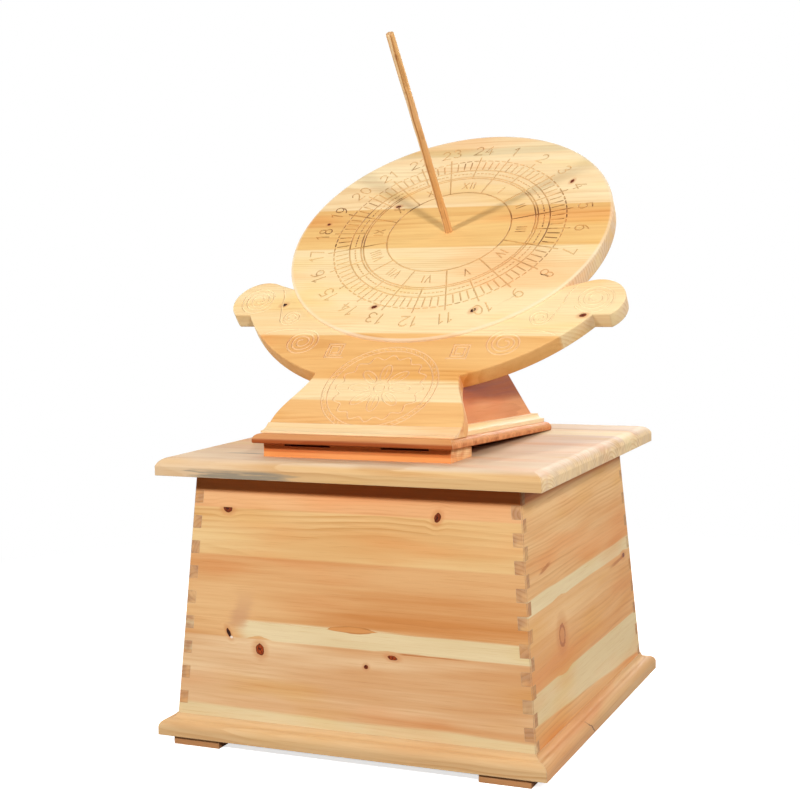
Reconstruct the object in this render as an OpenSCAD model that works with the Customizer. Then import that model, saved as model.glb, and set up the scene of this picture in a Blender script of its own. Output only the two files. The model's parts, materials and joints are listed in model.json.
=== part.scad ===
// Wooden equatorial sundial: a tapered finger-jointed plinth, and a dial stand that rests on its top.
// Origin: on the floor, under the centre of the plinth. +Z is up, and the dial faces -Y.

/* [Plinth] */
// Width and depth of the top board
top_w = 550; // [460:1:660]
// Thickness of the top board
top_t = 24; // [18:0.5:32]
// Radius of the worn-in round along the top board's upper edge
top_edge_r = 17; // [8:0.5:17]
// How far in from the board's side that round is centred
top_edge_in = 16; // [7:0.5:16]
// How far the top board overhangs the box
overhang = 41; // [20:1:60]
// How much wider the box is at its foot than at its top, on each side
flare = 28; // [10:1:40]
// Height of the box
box_h = 360; // [240:1:440]
// Thickness of the box's boards
wall_t = 14; // [10:0.5:20]
// Radius of the eased corners of the box
corner_r = 4; // [2:0.5:6]
// Height of one finger of the corner joints
finger_h = 17.3; // [12:0.1:30]
// Height of the first finger's underside above the foot of the box
finger_from = 7.5; // [4:0.5:12]
// Height of the base moulding
mould_h = 28; // [20:1:40]
// How far the base moulding stands out from the foot of the box
mould_out = 18; // [14:0.5:26]
// Width of the flat left along the moulding's top, against the box
mould_land = 1.2; // [0.8:0.1:3]
// Height of the four feet
foot_h = 12; // [6:0.5:25]
// Size of a foot across the front
foot_w = 70; // [50:1:90]
// Size of a foot from front to back
foot_d = 60; // [50:1:90]
// How far a foot is set in from the side of the moulding
foot_in_side = 22; // [4:1:30]
// How far a foot is set in from the front or back of the moulding
foot_in_front = 6; // [2:1:20]
// Thickness of the floor board inside the box
floor_t = 9; // [6:0.5:15]
// Size of the glue blocks in the corners of the box
block_w = 25; // [18:1:35]
// Width and height of the cleats under the top board
cleat_w = 20; // [16:1:30]

/* [Stand] */
// Width of the stand's base plate
plate_w = 290; // [240:1:350]
// Depth of the base plate
plate_d = 414; // [350:1:500]
// Thickness of the base plate
plate_t = 13; // [11:0.5:20]
// Radius of the base plate's upper edge
plate_edge_r = 9; // [4:0.5:10]
// How far the base plate's centre lies in front of the plinth's centre
stand_forward = 31; // [0:1:50]
// Height of the riser under the front of the base plate, at its front
riser_h = 19; // [10:0.5:30]
// Depth of the riser
riser_d = 75; // [40:1:120]
// How far the riser is set in from the front of the base plate
riser_in_front = 18; // [8:0.5:30]
// How far the riser is set in from the sides of the base plate
riser_in_side = 9; // [4:0.5:20]
// Width of each of the two notches in the riser's upper edge
notch_w = 68; // [40:1:80]
// Height of the notches
notch_h = 4; // [2:0.5:6]
// How deep the notches run in from the front
notch_d = 30; // [10:1:40]
// How far the notches' centres lie from the middle of the riser
notch_x = 71; // [45:1:80]
// Thickness of the side and back panels
panel_t = 15; // [12:0.5:18]
// How far the feet of the side and back panels are set in from the base plate's edges
panel_in = 19; // [17:0.5:30]
// How far the side panels lean in, in degrees
side_lean = 18.5; // [8:0.5:20]
// How far the back panel leans forward, in degrees
back_lean = 38; // [25:0.5:42]
// Width of the cove strips round the foot of the stand
cove_w = 10; // [8:0.5:14]
// Height of the cove strips
cove_h = 13; // [11:0.5:18]
// Thickness left at the front strip's two edges
cove_lip = 3; // [2:0.5:5]
// Radius of the hollow in the cove strips
cove_r = 7.5; // [4:0.5:7.5]
// Width of the glue blocks inside the stand
stand_block = 18; // [14:1:22]

/* [Dial] */
// Diameter of the dial
dial_d = 500; // [420:1:600]
// Thickness of the dial board, without the raised dial
board_t = 25; // [18:0.5:32]
// How far the dial stands up from the cloud cradle round it
relief = 4; // [2:0.5:6]
// Radius of the dial's softened edge
dial_edge_r = 3; // [1:0.5:3.5]
// Slope of the dial from the base plate, in degrees
dial_slope = 41; // [36:0.5:46]
// How far the board's toe is set in from the front of the base plate
toe_in = 28; // [22:0.5:40]
// How far the cradle's bowl reaches out past the dial, at its ends
bowl_out = 66; // [50:1:80]
// How far the bowl's centre lies below the dial's centre
bowl_drop = 18; // [5:1:25]
// Length of the neck and foot, from the bowl's lowest point to the toe
neck_len = 101; // [80:1:130]
// How far the neck stands out past the side panels
neck_lip = 4; // [3:0.5:10]
// How far the board's foot stands out past the side panels
foot_lip = 15; // [12:0.5:20]
// Radius of the cloud heads at the cradle's ends
head_r = 43; // [36:1:50]
// How far the cloud heads' centres lie outside the dial's edge
head_out = 55; // [48:1:62]
// How far the cloud heads' centres lie below the dial's centre, in degrees round the dial
head_angle = 30.8; // [25:0.1:35]
// How far below its centre a cloud head is cut flat
head_flat = 33; // [28:1:38]
// Radius of the innermost ring groove
ring_1_r = 97; // [80:1:100]
// Radius of the second ring groove
ring_2_r = 134; // [120:1:140]
// Radius of the third ring groove
ring_3_r = 156; // [145:1:165]
// Radius of the fourth ring groove
ring_4_r = 181; // [170:1:190]
// Number of double-hour divisions
divisions = 12; // [4:1:24]
// Radius where the division grooves end
division_r = 190; // [185:1:200]
// Width of the grooves in the dial
groove_w = 2.4; // [1:0.1:3]
// Depth of the grooves
groove_d = 1.2; // [0.5:0.1:1.5]

/* [Gnomon] */
// Diameter of the gnomon
gnomon_d = 12; // [8:0.5:14]
// Length of the gnomon above the dial
gnomon_up = 340; // [250:1:420]
// Length of the gnomon below the dial board
gnomon_down = 8; // [2:0.5:15]
// Radius of its rounded ends
gnomon_end_r = 2; // [0.5:0.5:3.5]

/* [Fits and fasteners] */
// Gap all round the gnomon in its bore
gnomon_gap = 0.05; // [0.02:0.01:0.1]
// Gap all round a screw or a dowel in its hole
screw_gap = 0.1; // [0.05:0.01:0.15]
// Gap round the floor board
floor_gap = 0.3; // [0.1:0.1:1]
// Diameter of the wood screws
screw_d = 4; // [3:0.5:5]
// Diameter of the screws' countersunk heads
head_d = 8; // [6:0.5:9]
// Thickness of the screw heads' rims
head_rim = 0.4; // [0.3:0.1:0.8]
// Length of the screws
screw_len = 28; // [22:1:32]
// How far the screw heads are sunk
screw_sink = 1.2; // [0.5:0.1:2]
// Diameter of the dowels between the dial board and the side panels
dowel_d = 6; // [4:0.5:6.5]
// Length of those dowels
dowel_len = 34; // [24:1:40]

/* [Hidden] */
$fn = 64;

big = 2000;
honey = "#E4B47C";
cream = "#EED9A6";
peach = "#E6A673";
pale = "#DDC9A6";
brown = "#8F5B33";
bare = "#D9BC8C";
steel = "#B9BCC0";

// Plinth: heights, leans and widths
box_top_w = top_w - 2 * overhang;
box_foot_w = box_top_w + 2 * flare;
mould_w = box_foot_w + 2 * mould_out;
box_z = foot_h;
box_top_z = box_z + box_h;
top_z = box_top_z + top_t;
lean = atan(flare / box_h);
wall_x = wall_t / cos(lean);
finger_rows = floor((box_h - finger_from - finger_h) / (2 * finger_h)) + 1;
floor_top_z = box_z + floor_t;
cleat_z = box_top_z - cleat_w;
foot_screw_xy = box_foot_w / 2 - wall_x - block_w / 2;
top_screw_x = half_at(cleat_z) - wall_x - cleat_w / 2;
top_screw_step = box_top_w / 3;

// Stand frame: y runs back from -plate_d to 0, z is up from the base plate's underside
tilt = asin(riser_h / (plate_d - riser_in_front));
stand_y = plate_d / 2 - stand_forward;
side_foot_x = plate_w / 2 - panel_in;
back_foot_y = -panel_in;
side_x = panel_t / cos(side_lean);
back_y = panel_t / cos(back_lean);

// Dial board frame: x across, y up the slope, z out of the dial's face, from the dial's centre
dial_r = dial_d / 2;
bowl_r = dial_r + bowl_out;
toe_v = -(bowl_drop + bowl_r + neck_len);
back_w = relief + board_t;
toe_y = toe_in - plate_d;
dial_y = toe_y - toe_v * cos(dial_slope) - relief * sin(dial_slope);
dial_z = plate_t - toe_v * sin(dial_slope) + relief * cos(dial_slope);
board_back_y = back_line_y(plate_t);
apex_z = (back_foot_y + plate_t * tan(back_lean) - back_line_y(0)) / (1 / tan(dial_slope) + tan(back_lean));
apex_v = (apex_z - dial_z + back_w * cos(dial_slope)) / sin(dial_slope);
foot_half = side_foot_x + foot_lip;
neck_v = -sqrt(pow(bowl_r, 2) - pow(side_foot_x, 2)) - bowl_drop;
neck_half = side_at(stand_z(neck_v, -back_w)) + neck_lip;
flare_end_v = toe_v + 0.2 * neck_len;
head_x = (dial_r + head_out) * cos(head_angle);
head_v = -(dial_r + head_out) * sin(head_angle);

// Half the box's outer width at height z
function half_at(z) = box_foot_w / 2 - (z - box_z) * tan(lean);
// Outer face of a side panel at height z in the stand frame
function side_at(z) = side_foot_x - (z - plate_t) * tan(side_lean);
// Outer face of the back panel at height z in the stand frame
function back_at(z) = back_foot_y - (z - plate_t) * tan(back_lean);
// Where the dial board's back face lies at height z in the stand frame
function back_line_y(z) = dial_y + back_w * sin(dial_slope)
    + (z - dial_z + back_w * cos(dial_slope)) / tan(dial_slope);
// Height in the stand frame of a point v up the dial and w out of its face
function stand_z(v, w) = dial_z + v * sin(dial_slope) + w * cos(dial_slope);
// Half the width of the neck and foot: a smooth flare from the neck to the foot
function neck_at(v) = neck_half
    + (foot_half - neck_half) * (1 - cos(180 * min(1, (neck_v - v) / (neck_v - flare_end_v)))) / 2;

echo(tilt = tilt, dial_normal = [0, -sin(dial_slope - tilt), cos(dial_slope - tilt)]);
echo(dial_centre = [0, stand_y + dial_y * cos(tilt) + dial_z * sin(tilt),
    top_z - dial_y * sin(tilt) + dial_z * cos(tilt)]);

// Holds the stand's pieces: tilted back by the riser, on the plinth's top
module stand_frame() {
    translate([0, stand_y, top_z]) rotate([-tilt, 0, 0]) children();
}

// Holds what lies on the dial board
module dial_frame() {
    translate([0, dial_y, dial_z]) rotate([dial_slope, 0, 0]) children();
}

// A section drawn in (y, z), run along x
module along_x(length) {
    rotate([90, 0, 90]) linear_extrude(length, center = true) children();
}

// A section drawn in (x, z), run along y
module along_y(length) {
    rotate([90, 0, 0]) linear_extrude(length, center = true) children();
}

// A square stump with sloping sides: half width at its foot, and how much that shrinks per mm of height
module stump(foot, slope, z0, z1) {
    low = foot - (z0 - box_z) * slope;
    high = foot - (z1 - box_z) * slope;
    intersection() {
        along_x(big) polygon([[-low, z0], [low, z0], [high, z1], [-high, z1]]);
        along_y(big) polygon([[-low, z0], [low, z0], [high, z1], [-high, z1]]);
    }
}

// The space that the box fills, with its corners eased in three small flats
module box_body() {
    intersection() {
        stump(box_foot_w / 2, tan(lean), box_z, box_top_z);
        for (turn = [22.5, 45, 67.5]) {
            reach = cos(turn) + sin(turn);
            rotate([0, 0, turn])
                stump(reach * box_foot_w / 2 - (reach - 1) * corner_r, reach * tan(lean), box_z, box_top_z);
        }
    }
}

// The box's hollow, drawn in by a gap
module box_hollow(gap, z0, z1) {
    stump(box_foot_w / 2 - wall_x - gap, tan(lean), z0, z1);
}

// A sloping slab along the front of the box, from one depth behind the front face to another
module front_slab(from, to) {
    along_x(big) polygon([
        [from - half_at(box_z), box_z], [to - half_at(box_z), box_z],
        [to - half_at(box_top_z), box_top_z], [from - half_at(box_top_z), box_top_z]]);
}

// The rows of the corner joints where the side boards come through
module side_rows() {
    for (row = [0 : finger_rows - 1])
        translate([-big / 2, -big / 2, box_z + finger_from + 2 * row * finger_h])
            cube([big, big, finger_h]);
}

// The boards on both sides of the front one, as whole slabs
module neighbours() {
    rotate([0, 0, 90]) front_slab(0, wall_x);
    rotate([0, 0, -90]) front_slab(0, wall_x);
}

// A front or back board: it gives way to the side boards in their rows
module front_board() {
    difference() {
        intersection() {
            box_body();
            front_slab(0, wall_x);
        }
        intersection() {
            neighbours();
            side_rows();
        }
    }
}

// A side board: it gives way to the front and back boards in all other rows
module side_board() {
    difference() {
        intersection() {
            box_body();
            front_slab(0, wall_x);
        }
        difference() {
            neighbours();
            side_rows();
        }
    }
}

// Section of the base moulding, inwards from its outer face at x = 0: a round below, a hollow above
module moulding_section() {
    top_in = mould_out + mould_h * tan(lean);
    round_r = mould_out * 0.6;
    hollow_r = mould_h * 0.25;
    hollow_x = top_in - mould_land - hollow_r;
    difference() {
        square([top_in + mould_out, mould_h]);
        difference() {
            translate([-1, mould_h - hollow_r - round_r]) square([round_r + 1, big]);
            translate([round_r, mould_h - hollow_r - round_r]) circle(round_r);
        }
        translate([round_r - 0.01, mould_h - hollow_r]) square([hollow_x - round_r + 0.01, big]);
        translate([hollow_x, mould_h]) circle(hollow_r);
    }
}

// One strip of the base moulding along the front, mitred at both ends and planed to the box's slope
module moulding_strip() {
    difference() {
        intersection() {
            translate([0, -mould_w / 2, box_z]) along_x(big) moulding_section();
            linear_extrude(big) polygon([[0, 0], [-mould_w, -mould_w], [mould_w, -mould_w]]);
        }
        stump(box_foot_w / 2, tan(lean), 0, box_top_z);
    }
}

// A countersunk wood screw, from its head at z = 0 upwards, swollen by a gap when it is a hole
module screw(gap = 0) {
    cone_h = (head_d - screw_d) / 2;
    below = gap > 0 ? 4 * screw_len : 0;
    translate([0, 0, -below]) cylinder(h = below + head_rim, d = head_d + 2 * gap);
    translate([0, 0, head_rim]) cylinder(h = cone_h, d1 = head_d + 2 * gap, d2 = screw_d + 2 * gap);
    cylinder(h = screw_len - screw_d + gap, d = screw_d + 2 * gap);
    translate([0, 0, screw_len - screw_d + gap]) cylinder(h = screw_d, d1 = screw_d + 2 * gap, d2 = 0.6 + 2 * gap);
}

module at_foot_screws() {
    for (sx = [-1, 1], sy = [-1, 1])
        translate([sx * foot_screw_xy, sy * foot_screw_xy, screw_sink]) children();
}

module at_top_screws() {
    for (sx = [-1, 1], row = [-1 : 1])
        translate([sx * top_screw_x, row * top_screw_step, cleat_z + screw_sink]) children();
}

// A foot of the plinth; sx and sy say which corner
module foot(sx, sy) {
    color(brown) difference() {
        translate([sx * (mould_w / 2 - foot_in_side - foot_w / 2),
                sy * (mould_w / 2 - foot_in_front - foot_d / 2), foot_h / 2])
            cube([foot_w, foot_d, foot_h], center = true);
        at_foot_screws() screw(screw_gap);
    }
}

// A glue block up one inner corner of the box
module corner_block(turn) {
    color(bare) difference() {
        rotate([0, 0, turn]) intersection() {
            front_slab(wall_x, wall_x + block_w);
            rotate([0, 0, 90]) front_slab(wall_x, wall_x + block_w);
            translate([-big / 2, -big / 2, floor_top_z]) cube([big, big, cleat_z - floor_top_z]);
        }
        at_foot_screws() screw(screw_gap);
    }
}

// A cleat along the inside of the box, under the top board
module top_cleat(turn) {
    color(bare) difference() {
        rotate([0, 0, turn]) intersection() {
            front_slab(wall_x, wall_x + cleat_w);
            box_hollow(0, cleat_z, box_top_z);
        }
        at_top_screws() screw(screw_gap);
    }
}

module floor_board() {
    color(bare) difference() {
        box_hollow(floor_gap, box_z, floor_top_z);
        at_foot_screws() screw(screw_gap);
    }
}

// A board's section with both upper edges rounded and both lower ones eased
module edged_section(width, thick, r, in, low_r = 0) {
    difference() {
        translate([-width / 2, 0]) square([width, thick]);
        for (side = [0, 1])
            mirror([side, 0]) {
                difference() {
                    translate([width / 2 - in, thick - r]) square([in + 1, r + 1]);
                    translate([width / 2 - in, thick - r]) circle(r);
                }
                if (low_r > 0)
                    difference() {
                        translate([width / 2 - low_r, -1]) square([low_r + 1, low_r + 1]);
                        translate([width / 2 - low_r, low_r]) circle(low_r);
                    }
            }
    }
}

module top_board() {
    color(pale) difference() {
        translate([0, 0, box_top_z]) intersection() {
            along_x(top_w) edged_section(top_w, top_t, top_edge_r, top_edge_in);
            along_y(top_w) edged_section(top_w, top_t, top_edge_r, top_edge_in);
        }
        at_top_screws() screw(screw_gap);
    }
}

// The stand's screws: three up through the riser, and two up through the plate into each glue block
module at_riser_screws() {
    run = plate_d - riser_in_front - riser_d / 2;
    for (place = [-1 : 1])
        translate([place * (notch_x + notch_w / 2 + 13), -run, screw_sink - run * tan(tilt)]) children();
}

module at_plate_screws() {
    for (sx = [-1, 1]) {
        for (run = [0.25, 0.75])
            translate([sx * (side_at(plate_t) - side_x - stand_block / 2 - 2),
                    side_run_from + run * (side_run_to - side_run_from), screw_sink]) children();
        translate([sx * block_half / 2, board_back_y + 1.6 * stand_block, screw_sink]) children();
        translate([sx * block_half / 2, back_foot_y - back_y - stand_block, screw_sink]) children();
    }
}

block_half = side_foot_x - side_x - 2 * stand_block;
side_run_from = board_back_y + 2 * stand_block;
side_run_to = back_foot_y - back_y - 2 * stand_block;

module riser_batten() {
    color(peach) difference() {
        intersection() {
            stand_frame() difference() {
                translate([riser_in_side - plate_w / 2, riser_in_front - plate_d, -2 * riser_h])
                    cube([plate_w - 2 * riser_in_side, riser_d, 2 * riser_h]);
                for (side = [-1, 1])
                    translate([side * notch_x - notch_w / 2, riser_in_front - plate_d - 1, -notch_h])
                        cube([notch_w, notch_d + 1, notch_h + 1]);
            }
            translate([-big / 2, -big / 2, top_z]) cube(big);
        }
        stand_frame() at_riser_screws() screw(screw_gap);
    }
}

module base_plate() {
    color(peach) stand_frame() difference() {
        translate([0, -plate_d / 2, 0]) intersection() {
            along_x(plate_w) edged_section(plate_d, plate_t, plate_edge_r, plate_edge_r, 2);
            along_y(plate_d) edged_section(plate_w, plate_t, plate_edge_r, plate_edge_r, 2);
        }
        at_plate_screws() screw(screw_gap);
        at_riser_screws() screw(screw_gap);
    }
}

// What lies between the dial board's back, the back panel's outer face and the plate
module stand_wedge() {
    along_x(big) polygon([[board_back_y, plate_t], [back_foot_y, plate_t], [back_at(apex_z), apex_z]]);
}

// The space under the side panels' outer faces, drawn in by a depth
module between_sides(depth) {
    top = apex_z + 1;
    along_y(big) polygon([[depth - side_at(plate_t), plate_t], [side_at(plate_t) - depth, plate_t],
        [side_at(top) - depth, top], [depth - side_at(top), top]]);
}

module side_panel(side) {
    color(peach) stand_frame() difference() {
        intersection() {
            stand_wedge();
            between_sides(0);
            translate([side > 0 ? 0 : -big, -big / 2, 0]) cube(big);
        }
        between_sides(side_x);
        dial_frame() at_dowels() dowel(screw_gap);
    }
}

module back_panel() {
    color(peach) stand_frame() intersection() {
        stand_wedge();
        between_sides(side_x);
        along_x(big) polygon([[back_foot_y - back_y, plate_t], [back_foot_y, plate_t],
            [back_at(apex_z), apex_z], [back_at(apex_z) - back_y, apex_z]]);
    }
}

// Section of a cove strip, from the panel's foot at x = 0 outwards
module cove_section() {
    difference() {
        translate([-cove_h, 0]) square([cove_w + cove_h, cove_h]);
        translate([cove_w, cove_h]) circle(cove_r);
    }
}

// The strip along one side of the stand, mitred at the back
module side_cove(side) {
    color(cream) stand_frame() difference() {
        intersection() {
            mirror([side > 0 ? 0 : 1, 0, 0])
                translate([side_foot_x, 0, plate_t]) along_y(big) cove_section();
            along_x(big) polygon([[board_back_y, plate_t], [plate_d, plate_t],
                [plate_d, plate_t + plate_d * tan(dial_slope)],
                [board_back_y + plate_d, plate_t + plate_d * tan(dial_slope)]]);
            translate([0, back_foot_y - side_foot_x, 0]) linear_extrude(plate_w)
                polygon([[0, 0], [side * plate_w, plate_w], [side * plate_w, -plate_d], [0, -plate_d]]);
        }
        between_sides(0);
    }
}

module cove_strip_back() {
    color(cream) stand_frame() difference() {
        intersection() {
            translate([0, back_foot_y, plate_t]) along_x(plate_w) cove_section();
            translate([0, back_foot_y - side_foot_x, 0]) linear_extrude(plate_w)
                polygon([[0, 0], [plate_w, plate_w], [-plate_w, plate_w]]);
        }
        along_x(big) polygon([[-plate_d, plate_t - 1], [back_at(plate_t - 1), plate_t - 1],
            [back_at(plate_d), plate_d], [-plate_d - plate_w, plate_d]]);
    }
}

module cove_strip_front() {
    color(cream) stand_frame() difference() {
        translate([0, toe_y, plate_t]) rotate([90, 0, -90]) linear_extrude(2 * foot_half, center = true)
            front_cove_section();
        dial_frame() translate([-big / 2, -big / 2, -relief - big]) cube(big);
    }
}

// Section of the front strip, outwards from the board's toe; the board's face cuts its back
module front_cove_section() {
    run = cove_h / tan(dial_slope);
    reach = cove_w + run - cove_lip;
    drop = cove_h - cove_lip;
    hollow_r = (reach * reach + drop * drop) / (2 * drop);
    difference() {
        translate([-run, 0]) square([cove_w + run, cove_h]);
        translate([cove_w, cove_lip + hollow_r]) circle(hollow_r, $fn = 180);
    }
}

module toe_block() {
    color(bare) stand_frame() difference() {
        along_x(2 * block_half) polygon([[board_back_y, plate_t], [board_back_y + 2.4 * stand_block, plate_t],
            [board_back_y + 2.4 * stand_block, plate_t + 2.4 * stand_block * tan(dial_slope)]]);
        at_plate_screws() screw(screw_gap);
    }
}

module rear_block() {
    front = back_foot_y - back_y - 1.6 * stand_block;
    color(bare) stand_frame() difference() {
        along_x(2 * block_half) polygon([[front, plate_t], [back_foot_y - back_y, plate_t],
            [back_at(plate_t + stand_block) - back_y, plate_t + stand_block], [front, plate_t + stand_block]]);
        at_plate_screws() screw(screw_gap);
    }
}

module side_block(side) {
    color(bare) stand_frame() difference() {
        intersection() {
            between_sides(side_x);
            translate([side > 0 ? side_foot_x - side_x - stand_block - 2 : side_x - side_foot_x - 2,
                    side_run_from, plate_t])
                cube([stand_block + 4, side_run_to - side_run_from, stand_block]);
        }
        at_plate_screws() screw(screw_gap);
    }
}

// The dowels run square to the dial board, half in the board and half in the side panels' edges
module at_dowels() {
    for (side = [-1, 1], share = [0.3, 0.65]) {
        v = toe_v + share * (apex_v - toe_v);
        mid_z = stand_z(v, -back_w - dowel_len / 4);
        translate([side * (side_at(mid_z) - side_x / 2), v, -back_w]) children();
    }
}

module dowel(gap = 0) {
    cylinder(h = dowel_len + 2 * gap, d = dowel_d + 2 * gap, center = true);
}

// Outline of the cloud cradle, its neck and its flared foot
module cradle_outline() {
    steps = 14;
    intersection() {
        translate([0, -bowl_drop]) circle(bowl_r, $fn = 180);
        translate([-big / 2, head_v - head_flat - big]) square(big);
    }
    for (side = [-1, 1]) {
        intersection() {
            translate([side * head_x, head_v]) circle(head_r, $fn = 96);
            translate([-big / 2, head_v - head_flat]) square(big);
        }
        polygon([[0, head_v - head_flat], [side * head_x, head_v - head_flat], [side * head_x, head_v + head_r],
            [side * (head_x - head_r / 2), head_v + 0.866 * head_r],
            [side * dial_r * 0.857, -dial_r * 0.515], [0, -dial_r * 0.5]]);
    }
    polygon(concat([[-neck_half, neck_v + 40]],
        [for (i = [0 : steps]) let (v = neck_v + (toe_v - 30 - neck_v) * i / steps) [-neck_at(v), v]],
        [for (i = [steps : -1 : 0]) let (v = neck_v + (toe_v - 30 - neck_v) * i / steps) [neck_at(v), v]],
        [[neck_half, neck_v + 40]]));
}

// The ring grooves and the double-hour grooves in the dial's face
module dial_grooves() {
    for (r = [ring_1_r, ring_2_r, ring_3_r, ring_4_r])
        rotate_extrude($fn = 180)
            polygon([[r - groove_w, groove_d], [r + groove_w, groove_d], [r, -groove_d]]);
    for (k = [0 : divisions - 1])
        rotate([0, 0, (k + 0.5) * 360 / divisions])
            translate([(ring_1_r - groove_w / 4 + division_r) / 2, 0, 0])
                along_x(division_r - ring_1_r + groove_w / 4)
                    polygon([[-0.9 * groove_w, groove_d], [0.9 * groove_w, groove_d], [0, -0.9 * groove_d]]);
}

module dial_board() {
    color(cream) stand_frame() difference() {
        dial_frame() difference() {
            union() {
                translate([0, 0, -back_w]) linear_extrude(board_t) cradle_outline();
                difference() {
                    translate([0, 0, -back_w]) cylinder(h = back_w, r = dial_r, $fn = 180);
                    rotate_extrude($fn = 180) difference() {
                        translate([dial_r - dial_edge_r, -dial_edge_r]) square(dial_edge_r + 1);
                        translate([dial_r - dial_edge_r, -dial_edge_r]) circle(dial_edge_r);
                    }
                }
            }
            translate([0, 0, -back_w - 1]) cylinder(h = back_w + 2, d = gnomon_d + 2 * gnomon_gap);
            at_dowels() dowel(screw_gap);
            dial_grooves();
        }
        translate([-big / 2, -big / 2 - plate_d, plate_t - big]) cube(big);
    }
}

module dial_dowels() {
    color(bare) stand_frame() dial_frame() at_dowels() dowel();
}

module foot_screws() {
    color(steel) at_foot_screws() screw();
}

module top_screws() {
    color(steel) at_top_screws() screw();
}

module plate_screws() {
    color(steel) stand_frame() at_plate_screws() screw();
}

module riser_screws() {
    color(steel) stand_frame() at_riser_screws() screw();
}

// The gnomon: a plain dowel with rounded ends, square to the dial and through its centre
module gnomon() {
    length = gnomon_down + back_w + gnomon_up;
    radius = gnomon_d / 2;
    color(honey) stand_frame() dial_frame() translate([0, 0, -back_w - gnomon_down])
        rotate_extrude() {
            difference() {
                square([radius, length]);
                for (end = [0, 1])
                    translate([radius - gnomon_end_r, end * length]) square(2 * gnomon_end_r, center = true);
            }
            for (end = [gnomon_end_r, length - gnomon_end_r]) {
                translate([0, end - gnomon_end_r]) square([radius - gnomon_end_r, 2 * gnomon_end_r]);
                translate([radius - gnomon_end_r, end]) circle(gnomon_end_r);
            }
        }
}

foot(-1, -1);  // foot_front_left
foot(1, -1);  // foot_front_right
foot(-1, 1);  // foot_back_left
foot(1, 1);  // foot_back_right
color(honey) moulding_strip();  // base_moulding_front
color(honey) rotate([0, 0, 180]) moulding_strip();  // base_moulding_back
color(honey) rotate([0, 0, -90]) moulding_strip();  // base_moulding_left
color(honey) rotate([0, 0, 90]) moulding_strip();  // base_moulding_right
color(honey) front_board();  // box_front
color(honey) rotate([0, 0, 180]) front_board();  // box_back
color(peach) rotate([0, 0, -90]) side_board();  // box_left
color(peach) rotate([0, 0, 90]) side_board();  // box_right
floor_board();
corner_block(-90);  // corner_block_front_left
corner_block(0);  // corner_block_front_right
corner_block(180);  // corner_block_back_left
corner_block(90);  // corner_block_back_right
top_cleat(-90);  // top_cleat_left
top_cleat(90);  // top_cleat_right
top_board();
foot_screws();
top_screws();
riser_batten();
base_plate();
side_panel(-1);  // side_panel_left
side_panel(1);  // side_panel_right
back_panel();
cove_strip_front();
cove_strip_back();
side_cove(-1);  // cove_strip_left
side_cove(1);  // cove_strip_right
toe_block();
rear_block();
side_block(-1);  // side_block_left
side_block(1);  // side_block_right
dial_board();
dial_dowels();
plate_screws();
riser_screws();
gnomon();
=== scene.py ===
# %% [markdown]
# # A wooden sundial on its plinth
# The sundial is already cut: a CAD model holds its forty named pieces at their real size, in three bodies
# that lift apart. This lesson gives the pieces their looks. Every length below is in metres where it places
# something in the scene, and in millimetres where it describes wood or carving, as a maker would say it.

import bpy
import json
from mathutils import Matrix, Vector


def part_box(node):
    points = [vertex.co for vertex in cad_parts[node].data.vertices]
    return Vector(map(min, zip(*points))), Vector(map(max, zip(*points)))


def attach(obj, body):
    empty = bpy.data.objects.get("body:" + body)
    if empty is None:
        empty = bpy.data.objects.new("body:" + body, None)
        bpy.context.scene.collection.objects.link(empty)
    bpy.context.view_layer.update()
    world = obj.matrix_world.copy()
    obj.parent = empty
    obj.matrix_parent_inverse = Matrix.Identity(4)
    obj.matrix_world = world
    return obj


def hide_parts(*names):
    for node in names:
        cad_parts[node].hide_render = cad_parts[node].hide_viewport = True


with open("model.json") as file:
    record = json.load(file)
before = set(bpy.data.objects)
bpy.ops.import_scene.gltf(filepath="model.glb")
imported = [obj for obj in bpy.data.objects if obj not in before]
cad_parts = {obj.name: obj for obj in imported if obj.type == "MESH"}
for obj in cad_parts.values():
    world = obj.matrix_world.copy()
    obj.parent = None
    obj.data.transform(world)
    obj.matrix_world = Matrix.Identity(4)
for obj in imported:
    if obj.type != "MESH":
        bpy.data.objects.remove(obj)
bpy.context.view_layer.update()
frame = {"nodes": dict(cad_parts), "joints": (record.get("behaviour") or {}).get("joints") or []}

# %% The tools on the bench
import json
import math
import random
from collections import namedtuple

import bmesh
import bpy
from mathutils import Matrix, Vector, noise

MM = 0.001
ACROSS = Vector((1, 0, 0))
BACKWARD = Vector((0, 1, 0))
UP = Vector((0, 0, 1))
print("one millimetre is", MM, "of a metre")

# %% [markdown]
# ## The camera
# A product photograph is taken with a long lens from a few steps away, a little above the object and to its
# right, so upright lines stay nearly upright. The place and the angles below are real ones, in metres and
# degrees. A camera looks down its own -Z, so its matrix has right, up and backward as columns.

# %% Set the camera up
CAMERA_PLACE = Vector((0.8372, -2.0031, 0.6566))
CAMERA_YAW = math.radians(23.386)
CAMERA_PITCH = math.radians(5.290)
CAMERA_ROLL = math.radians(-1.039)
LENS_MM = 67.71
SENSOR_MM = 36.0

ahead = Vector((-math.sin(CAMERA_YAW) * math.cos(CAMERA_PITCH),
                math.cos(CAMERA_YAW) * math.cos(CAMERA_PITCH), -math.sin(CAMERA_PITCH)))
level_right = Vector((math.cos(CAMERA_YAW), math.sin(CAMERA_YAW), 0))
level_up = level_right.cross(ahead)
camera_right = level_right * math.cos(CAMERA_ROLL) + level_up * math.sin(CAMERA_ROLL)
camera_up = level_up * math.cos(CAMERA_ROLL) - level_right * math.sin(CAMERA_ROLL)

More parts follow.
